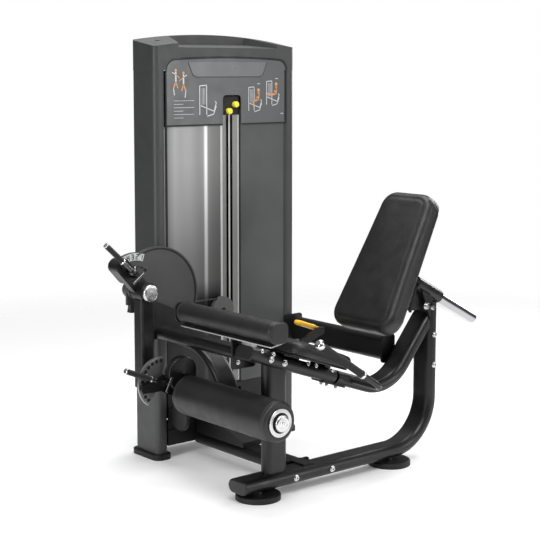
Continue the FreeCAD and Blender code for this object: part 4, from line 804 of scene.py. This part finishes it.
def cam_label():
    """White arc with the start positions' numbers, on the crown of the cam."""
    label, marks = Shape(), Shape()
    thick = 0.7
    centre = Vector((PIVOT.x, CAM_FACE_Y, PIVOT.z))
    label.slab(arc_band(centre, 71, 121, 138.5, 111, 24), Y * -thick)
    label.piece("start_number_label", PRINT_WHITE, "cam")
    first_number, number_pitch, number_circle = 76, 9, 125
    digit_width, stroke_height = 8, 8.5
    for step, digit in enumerate((1, 2, 3, 4, 5)):
        angle = math.radians(first_number + number_pitch * step)
        middle = Vector((math.cos(angle), math.sin(angle))) * number_circle
        up = middle.normalized()
        right = Vector((up.y, -up.x))
        for ends in digit_strokes(digit):
            a, b = (Vector((PIVOT.x, PIVOT.z)) + middle + right * (x - 0.5) * digit_width
                    + up * (z - 1) * stroke_height for x, z in ends)
            stroke(marks, a, b, 3.2, CAM_FACE_Y - thick)
    marks.piece("start_numbers", PRINT_DARK, "cam")


# ---------------------------------------------------------------- small hardware
def seat_tube_recess():
    """Long dark cover strip on the near side of the seat tube."""
    shape = Shape()
    face, radius, steps = -50.2, 9, 8
    front = SEAT_TUBE_CORNER - SEAT_ALONG * SEAT_TUBE_FRONT + Y * face
    outline = []
    for end, turn in ((38, math.pi / 2), (196, -math.pi / 2)):
        for k in range(steps + 1):
            angle = turn + math.pi * k / steps
            around = SEAT_ALONG * math.cos(angle) + SEAT_UP * math.sin(angle)
            outline.append(front + SEAT_ALONG * end + around * radius)
    shape.slab(outline, Y * -0.8)
    shape.piece("seat_tube_strip", SLOT_DARK)


def placard_painted_shadow():
    """Dark shadow gap round the placard and along its lower edge."""
    seam = Shape()
    x0, x1 = PLACARD_X
    y = PLACARD_Y - 0.4
    margin, corner, shoulder = 3.5, 47, PLACARD_TOP - 48
    across, upwards, crown = corner - margin, 45, 32
    bend, steps = 6, 12
    line = [(x0 + margin, PANEL_Z[1] + 1), (x0 + margin, shoulder)]
    for k in range(bend + 1):
        angle = math.pi - math.pi / 2 * k / bend
        line.append((x0 + corner + across * math.cos(angle), shoulder + upwards * math.sin(angle)))
    for k in range(1, steps):
        t = k / steps
        height = shoulder + upwards + crown * t * (1 - t)
        line.append((x0 + corner + (x1 - x0 - 2 * corner) * t, height))
    for k in range(bend + 1):
        angle = math.pi / 2 - math.pi / 2 * k / bend
        line.append((x1 - corner + across * math.cos(angle), shoulder + upwards * math.sin(angle)))
    line.append((x1 - margin, PANEL_Z[1] + 1))
    # Painted shadow: dark strokes in the gap round the placard and along its lower edge.
    for a, b in zip(line, line[1:]):
        stroke(seam, a, b, 4.2, y)
    foot = PANEL_Z[1] + 3
    stroke(seam, (x0 + 4, foot), (SLOT_X[0], foot), 6, y)
    stroke(seam, (SLOT_X[1], foot), (x1 - 4, foot), 5, y)
    seam.piece("placard_painted_shadow", SLOT_DARK)


def cam_groove():
    """Painted shade: a dark line in the groove between the cam's face and its raised guard band."""
    groove = Shape()
    outline = arc_band(CAM_DISC + Y * CAM_FACE_Y, -14, 118, CAM_DISC_R - 0.2, CAM_DISC_R - 6, 48)
    groove.slab(outline, Y * -PRINT_DEPTH)
    groove.piece("cam_rim_painted_shade", SLOT_DARK, "cam")


def slot_details():
    """Bright edge trims, grey strips, a guide rod and a dark edge along the slot between the panels."""
    trim, strips, rod, dark = Shape(), Shape(), Shape(), Shape()
    low, high = PANEL_Z[0] + 4, PANEL_Z[1] - 1
    behind = high + 40
    plate_on(trim, 307, 317.5, low, high, PANEL_Y, 1.2)
    plate_on(trim, 396, 402, low, behind, PANEL_Y + 4, 1.2)
    plate_on(strips, 320.5, 338, low, behind, PANEL_Y + 5, 1.5)
    plate_on(strips, 371, 402, low, behind, PANEL_Y + 5.5, 1.5)
    for x in (320.5, 336.5):
        plate_on(strips, x, x + 1.5, low, behind, PANEL_Y + 3.5, 2.0)
    length = 1090
    ends = [(0, 2.4), (0.5, 3.4), (length, 3.4), (length + 0.5, 2.4)]
    rod.turned(Vector((354, PANEL_Y + 3.5, low)), Z, ends, 20)
    plate_on(dark, 402.5, 408.8, low, high + 60, PANEL_Y + 3, 2)
    trim.piece("slot_edge_trims", TRIM_LIGHT, edge=0.4)
    strips.piece("slot_strips", STRIP_GREY, edge=0.4)
    rod.piece("slot_guide_rod", TRIM_LIGHT, FRAME_BODY, "chrome")
    dark.piece("slot_dark_edge", SLOT_DARK)


def top_plug():
    """Round plug in the top cap, near its left end."""
    plug = Shape()
    plug.turned(Vector((70, 690, 1613.2)), Z, [(0, 12), (1.0, 12), (1.2, 10), (0.4, 9)], 24)
    plug.piece("top_plug", MATERIALS["rubber"], FRAME_BODY, "rubber")


def roller_trim():
    """Turned washer, dark ring, domed cap and screw on the roller's end."""
    washer, ring, cap = Shape(), Shape(), Shape()
    centre = Vector((ROLLER.x, ROLLER_Y[0], ROLLER.z))
    out = Y * -1
    grooved = [(1, 30), (1, 48), (2, 49), (5, 49), (6, 48), (6.2, 44), (5.4, 43), (5.4, 41), (6.2, 40),
               (6.2, 36), (1.5, 34), (1, 30)]
    stepped = [(1.2, 16), (1.2, 35.5), (3.0, 35.5), (3.0, 30), (12, 29.5), (12, 16)]
    domed = [(12.2, 16), (12.2, 28.2), (13, 29), (15, 29), (17.5, 28), (19.2, 25.5), (20, 22), (20, 18.5),
             (19.2, 17.5), (19.2, 15), (20, 14)]
    screw = [(20.2, 9), (21.2, 8.6), (21.6, 7.6), (21.6, 4.2), (20.2, 3.8), (20.2, 0.5)]
    washer.turned(centre, out, grooved, 72)
    ring.turned(centre, out, stepped, 64)
    cap.turned(centre, out, domed + screw, 64)
    washer.piece("roller_washer", CAP_ALUMINIUM, "shin", "chrome", ("roller_cap",))
    ring.piece("roller_seal_ring", MATERIALS["rubber"], "shin", "rubber", ("roller_cap",))
    cap.piece("roller_dome_cap", CAP_ALUMINIUM, "shin", "chrome", ("roller_cap",))


# Distance from the lever's root, half width and half thickness of the release paddle's sections.
PADDLE_SECTIONS = ((8, 7, 7), (12, 12, 10), (18, 16, 12), (30, 18, 13), (46, 17.2, 12.4), (62, 17.6, 12.6),
                   (78, 18.4, 13), (94, 18, 13), (104, 15, 11.5), (109, 10, 8), (111, 4, 4))
PADDLE_FLATNESS = 0.8
PADDLE_LIFT = 5


def release_handle():
    """Amber paddle with a thick rounded blade, and the hub that it turns on."""
    shape = Shape()
    root = Vector((452, 202, 518))
    reach = SEAT_ALONG * -1
    steps = 24
    rings = []
    for along, half, thick in PADDLE_SECTIONS:
        ring = []
        for k in range(steps):
            angle = 2 * math.pi * k / steps
            cos, sin = math.cos(angle), math.sin(angle)
            across = half * math.copysign(abs(cos) ** 0.55, cos)
            up = thick * PADDLE_FLATNESS * math.copysign(abs(sin) ** 0.7, sin) + PADDLE_LIFT
            ring.append(root + reach * along + Y * across + SEAT_UP * up)
        rings.append(ring)
    shape.loft(rings)
    hub = Shape()
    barrel = [(0.5, 5.2), (0.5, 10.5), (2, 12), (17, 12), (18.5, 10.5), (18.5, 5.2)]
    hub.turned(root + Y * -17, Y, barrel, 32)
    shape.piece("release_paddle", MATERIALS["amber"], "release_lever", "amber", ("release_lever",))
    hub.piece("release_hub", MATERIALS["amber"], "release_lever", "amber", ("release_lever",))


def upright_shadow_line():
    """Painted shade in the gap and a painted highlight on the bevel, between the near upright and the front
    panel.
    """
    gap, bevel = Shape(), Shape()
    top = PANEL_Z[1] - 1
    # Painted shade: a dark strip in the gap beside the panel.
    plate_on(gap, 43.5, 52, PANEL_Z[0] + 2, top, PANEL_Y + 0.2, 1.4)
    # Painted highlight: a lighter strip on the upright's bevel.
    plate_on(bevel, 33, 38, PANEL_Z[0] + 8, top, 601.6, 0.8)
    gap.piece("panel_edge_painted_shade", SLOT_DARK)
    bevel.piece("upright_bevel", BEVEL_PAINTED_HIGHLIGHT)


def gusset_bolts():
    """Hexagon bolts on washers, on both sides of the gusset under the backrest's sleeve."""
    shape = Shape()
    r = 7
    washer = [(0, 2), (0, r * 1.5), (1.4, r * 1.45), (1.5, 2)]
    head = [(1.5, r * 1.1), (5.4, r * 1.1), (6.6, r * 0.9), (6.6, r * 0.45), (4.6, r * 0.4), (4.6, 0.4)]
    for side in (-1, 1):
        face = Vector((822, 55 * side, 594))
        shape.turned(face, Y * side, washer, 24)
        shape.turned(face, Y * side, head, 6)
    shape.piece("gusset_bolts", MATERIALS["chrome"], FRAME_BODY, "chrome")


def shin_details():
    """Painted shade in the arc plate's holes, and the screw of the roller's carrier disc."""
    holes, screw = Shape(), Shape()
    first, last, pitch = 88, 230, 14
    hole_circle, face_y = 80, 399.8
    for angle in range(first, last + 1, pitch):
        middle = SHIN_PIVOT + direction(angle) * hole_circle
        # Painted shade: a dark disc over each hole.
        disc_print(holes, (middle.x, middle.z), 7.2, face_y)
    holes.piece("arc_hole_painted_shade", SLOT_DARK, "lever")
    socket_head = [(0, 1), (0, 8), (1.5, 8), (2.2, 7), (2.2, 3.4), (0.8, 3), (0.8, 0.3)]
    screw.turned(ROLLER + Vector((-2, 352, 73)), Y * -1, socket_head, 24)
    screw.piece("carrier_disc_screw", DARK_STEEL, "shin", "chrome")


# ---------------------------------------------------------------- dressing the CAD nodes
NODE_FINISHES = {
    "placard": PLACARD_FACE,
    "right_panel": PANEL_GREY,
    "left_panel": steel_with_painted_light(),
    "cam": CAM_CHARCOAL,
    # The knob carriers take the flat near-black as painted shade of the recess round the knobs.
    "knob_carrier": SLOT_DARK,
    "pivot_axle": CAP_ALUMINIUM,
    "start_pin": DARK_STEEL,
    "shin_pin": DARK_STEEL,
    "backrest_bar": BAR_CHROME,
    "turn_pulley": PULLEY_GREY,
    "tower_covers": COVER_BLACK,
    "base_covers": COVER_BLACK,
    "tower_cross_members": COVER_BLACK,
    "tower_boots": COVER_BLACK,
}


def dress_nodes():
    """Every CAD node takes its own finish, or the finish of its record slot."""
    slots = {part["node"]: part["material_slot"] for part in frame["record"]["subparts"]}
    for name, obj in NODES.items():
        material = NODE_FINISHES.get(name) or MATERIALS[slots[name]]
        if not obj.material_slots:
            obj.data.materials.append(material)
        for place in obj.material_slots:
            place.material = material


# ---------------------------------------------------------------- stage
def world_light():
    """Soft light that is stronger from above; the camera sees plain white."""
    world = bpy.data.worlds.new("studio")
    world.use_nodes = True
    bpy.context.scene.world = world
    tree = world.node_tree
    coords = tree.nodes.new("ShaderNodeTexCoord")
    split = tree.nodes.new("ShaderNodeSeparateXYZ")
    tree.links.new(coords.outputs["Generated"], split.inputs["Vector"])
    from_below, from_above = 0.07, 0.42
    bright = ranged(tree, split.outputs["Z"], -0.1, 0.9, from_below, from_above)
    seen = tree.nodes.new("ShaderNodeLightPath")
    pick = tree.nodes.new("ShaderNodeMix")
    tree.links.new(seen.outputs["Is Camera Ray"], pick.inputs["Factor"])
    tree.links.new(bright, pick.inputs[2])
    pick.inputs[3].default_value = 1.0
    tree.links.new(pick.outputs[0], tree.nodes["Background"].inputs["Strength"])
    tree.nodes["Background"].inputs["Color"].default_value = (1, 1, 1, 1)


def area_light(name, position, target, size, power):
    data = bpy.data.lights.new(name, "AREA")
    data.shape = "RECTANGLE"
    data.size, data.size_y = size
    data.energy = power
    obj = bpy.data.objects.new(name, data)
    bpy.context.scene.collection.objects.link(obj)
    obj.location = position
    obj.rotation_euler = (Vector(target) - Vector(position)).to_track_quat("-Z", "Y").to_euler()


def floor():
    """A pale disc that fades out into the background."""
    radius = 6.0
    fade_from = 1.6
    shape = bmesh.new()
    bmesh.ops.create_circle(shape, cap_ends=True, segments=96, radius=radius)
    data = bpy.data.meshes.new("floor")
    shape.to_mesh(data)
    shape.free()
    obj = bpy.data.objects.new("floor", data)
    bpy.context.scene.collection.objects.link(obj)
    material = bpy.data.materials.new("pale_floor")
    material.use_nodes = True
    tree = material.node_tree
    shader = tree.nodes["Principled BSDF"]
    shader.inputs["Roughness"].default_value = 0.6
    shader.inputs["Emission Color"].default_value = (1, 1, 1, 1)
    shader.inputs["Emission Strength"].default_value = 0.13
    vector = mapped(tree, (1, 1, 1))
    tint = mixed(tree, noise_at(tree, vector, 3.0), (0.90, 0.90, 0.90, 1), (0.94, 0.94, 0.94, 1))
    tree.links.new(tint, shader.inputs["Base Color"])
    length = tree.nodes.new("ShaderNodeVectorMath")
    length.operation = "LENGTH"
    tree.links.new(vector, length.inputs[0])
    fade = ranged(tree, length.outputs["Value"], fade_from, radius * 0.7, 0.0, 1.0)
    clear = tree.nodes.new("ShaderNodeBsdfTransparent")
    mix = tree.nodes.new("ShaderNodeMixShader")
    tree.links.new(fade, mix.inputs[0])
    tree.links.new(shader.outputs[0], mix.inputs[1])
    tree.links.new(clear.outputs[0], mix.inputs[2])
    tree.links.new(mix.outputs[0], tree.nodes["Material Output"].inputs["Surface"])
    data.materials.append(material)


def camera():
    """Looks from the front left, at head height, a little downwards."""
    downwards, turned = 6.268, -39.909
    data = bpy.data.cameras.new("camera")
    data.lens = 89.86
    data.sensor_width = 36.0
    data.shift_y = -0.10
    data.clip_end = 100
    obj = bpy.data.objects.new("camera", data)
    bpy.context.scene.collection.objects.link(obj)
    obj.location = (-3.3211, -3.8377, 1.5087)
    obj.rotation_euler = (math.radians(90 - downwards), 0, math.radians(turned))
    bpy.context.scene.camera = obj


def stage():
    bpy.context.scene.view_settings.view_transform = "Standard"
    world_light()
    area_light("key", (-1.2, -2.2, 3.8), (0, 0, 0.4), (1.8, 1.8), 98)
    area_light("overhead", (0.4, 0.6, 3.6), (0.1, 0, 0), (2.2, 2.2), 84)
    area_light("rim", (3.2, 0.4, 2.2), (0.2, 0, 0.8), (0.9, 2.4), 60)
    area_light("front_strip", (-3.4, -0.4, 1.3), (-0.2, 0.3, 0.8), (0.5, 2.4), 44)
    area_light("front_right", (2.2, -3.4, 1.7), (0.1, 0.3, 0.9), (0.8, 2.4), 40)
    floor()
    camera()


stage()
dress_nodes()
back_cushion()
seat_cushion()
upholstered_roll("knee_roll_pad", "knee_roll", FRAME_BODY, KNEE_ROLL, KNEE_ROLL_Y, KNEE_ROLL_R, 8)
upholstered_roll("ankle_roller_pad", "ankle_roller", "roller", ROLLER, ROLLER_Y, ROLLER_R, 12)
ribbed_grips()
grip_rods()
lever_handles()
placard_prints()
placard_painted_shadow()
cam_label()
cam_groove()
seat_tube_recess()
slot_details()
top_plug()
roller_trim()
release_handle()
shin_details()
upright_shadow_line()
gusset_bolts()
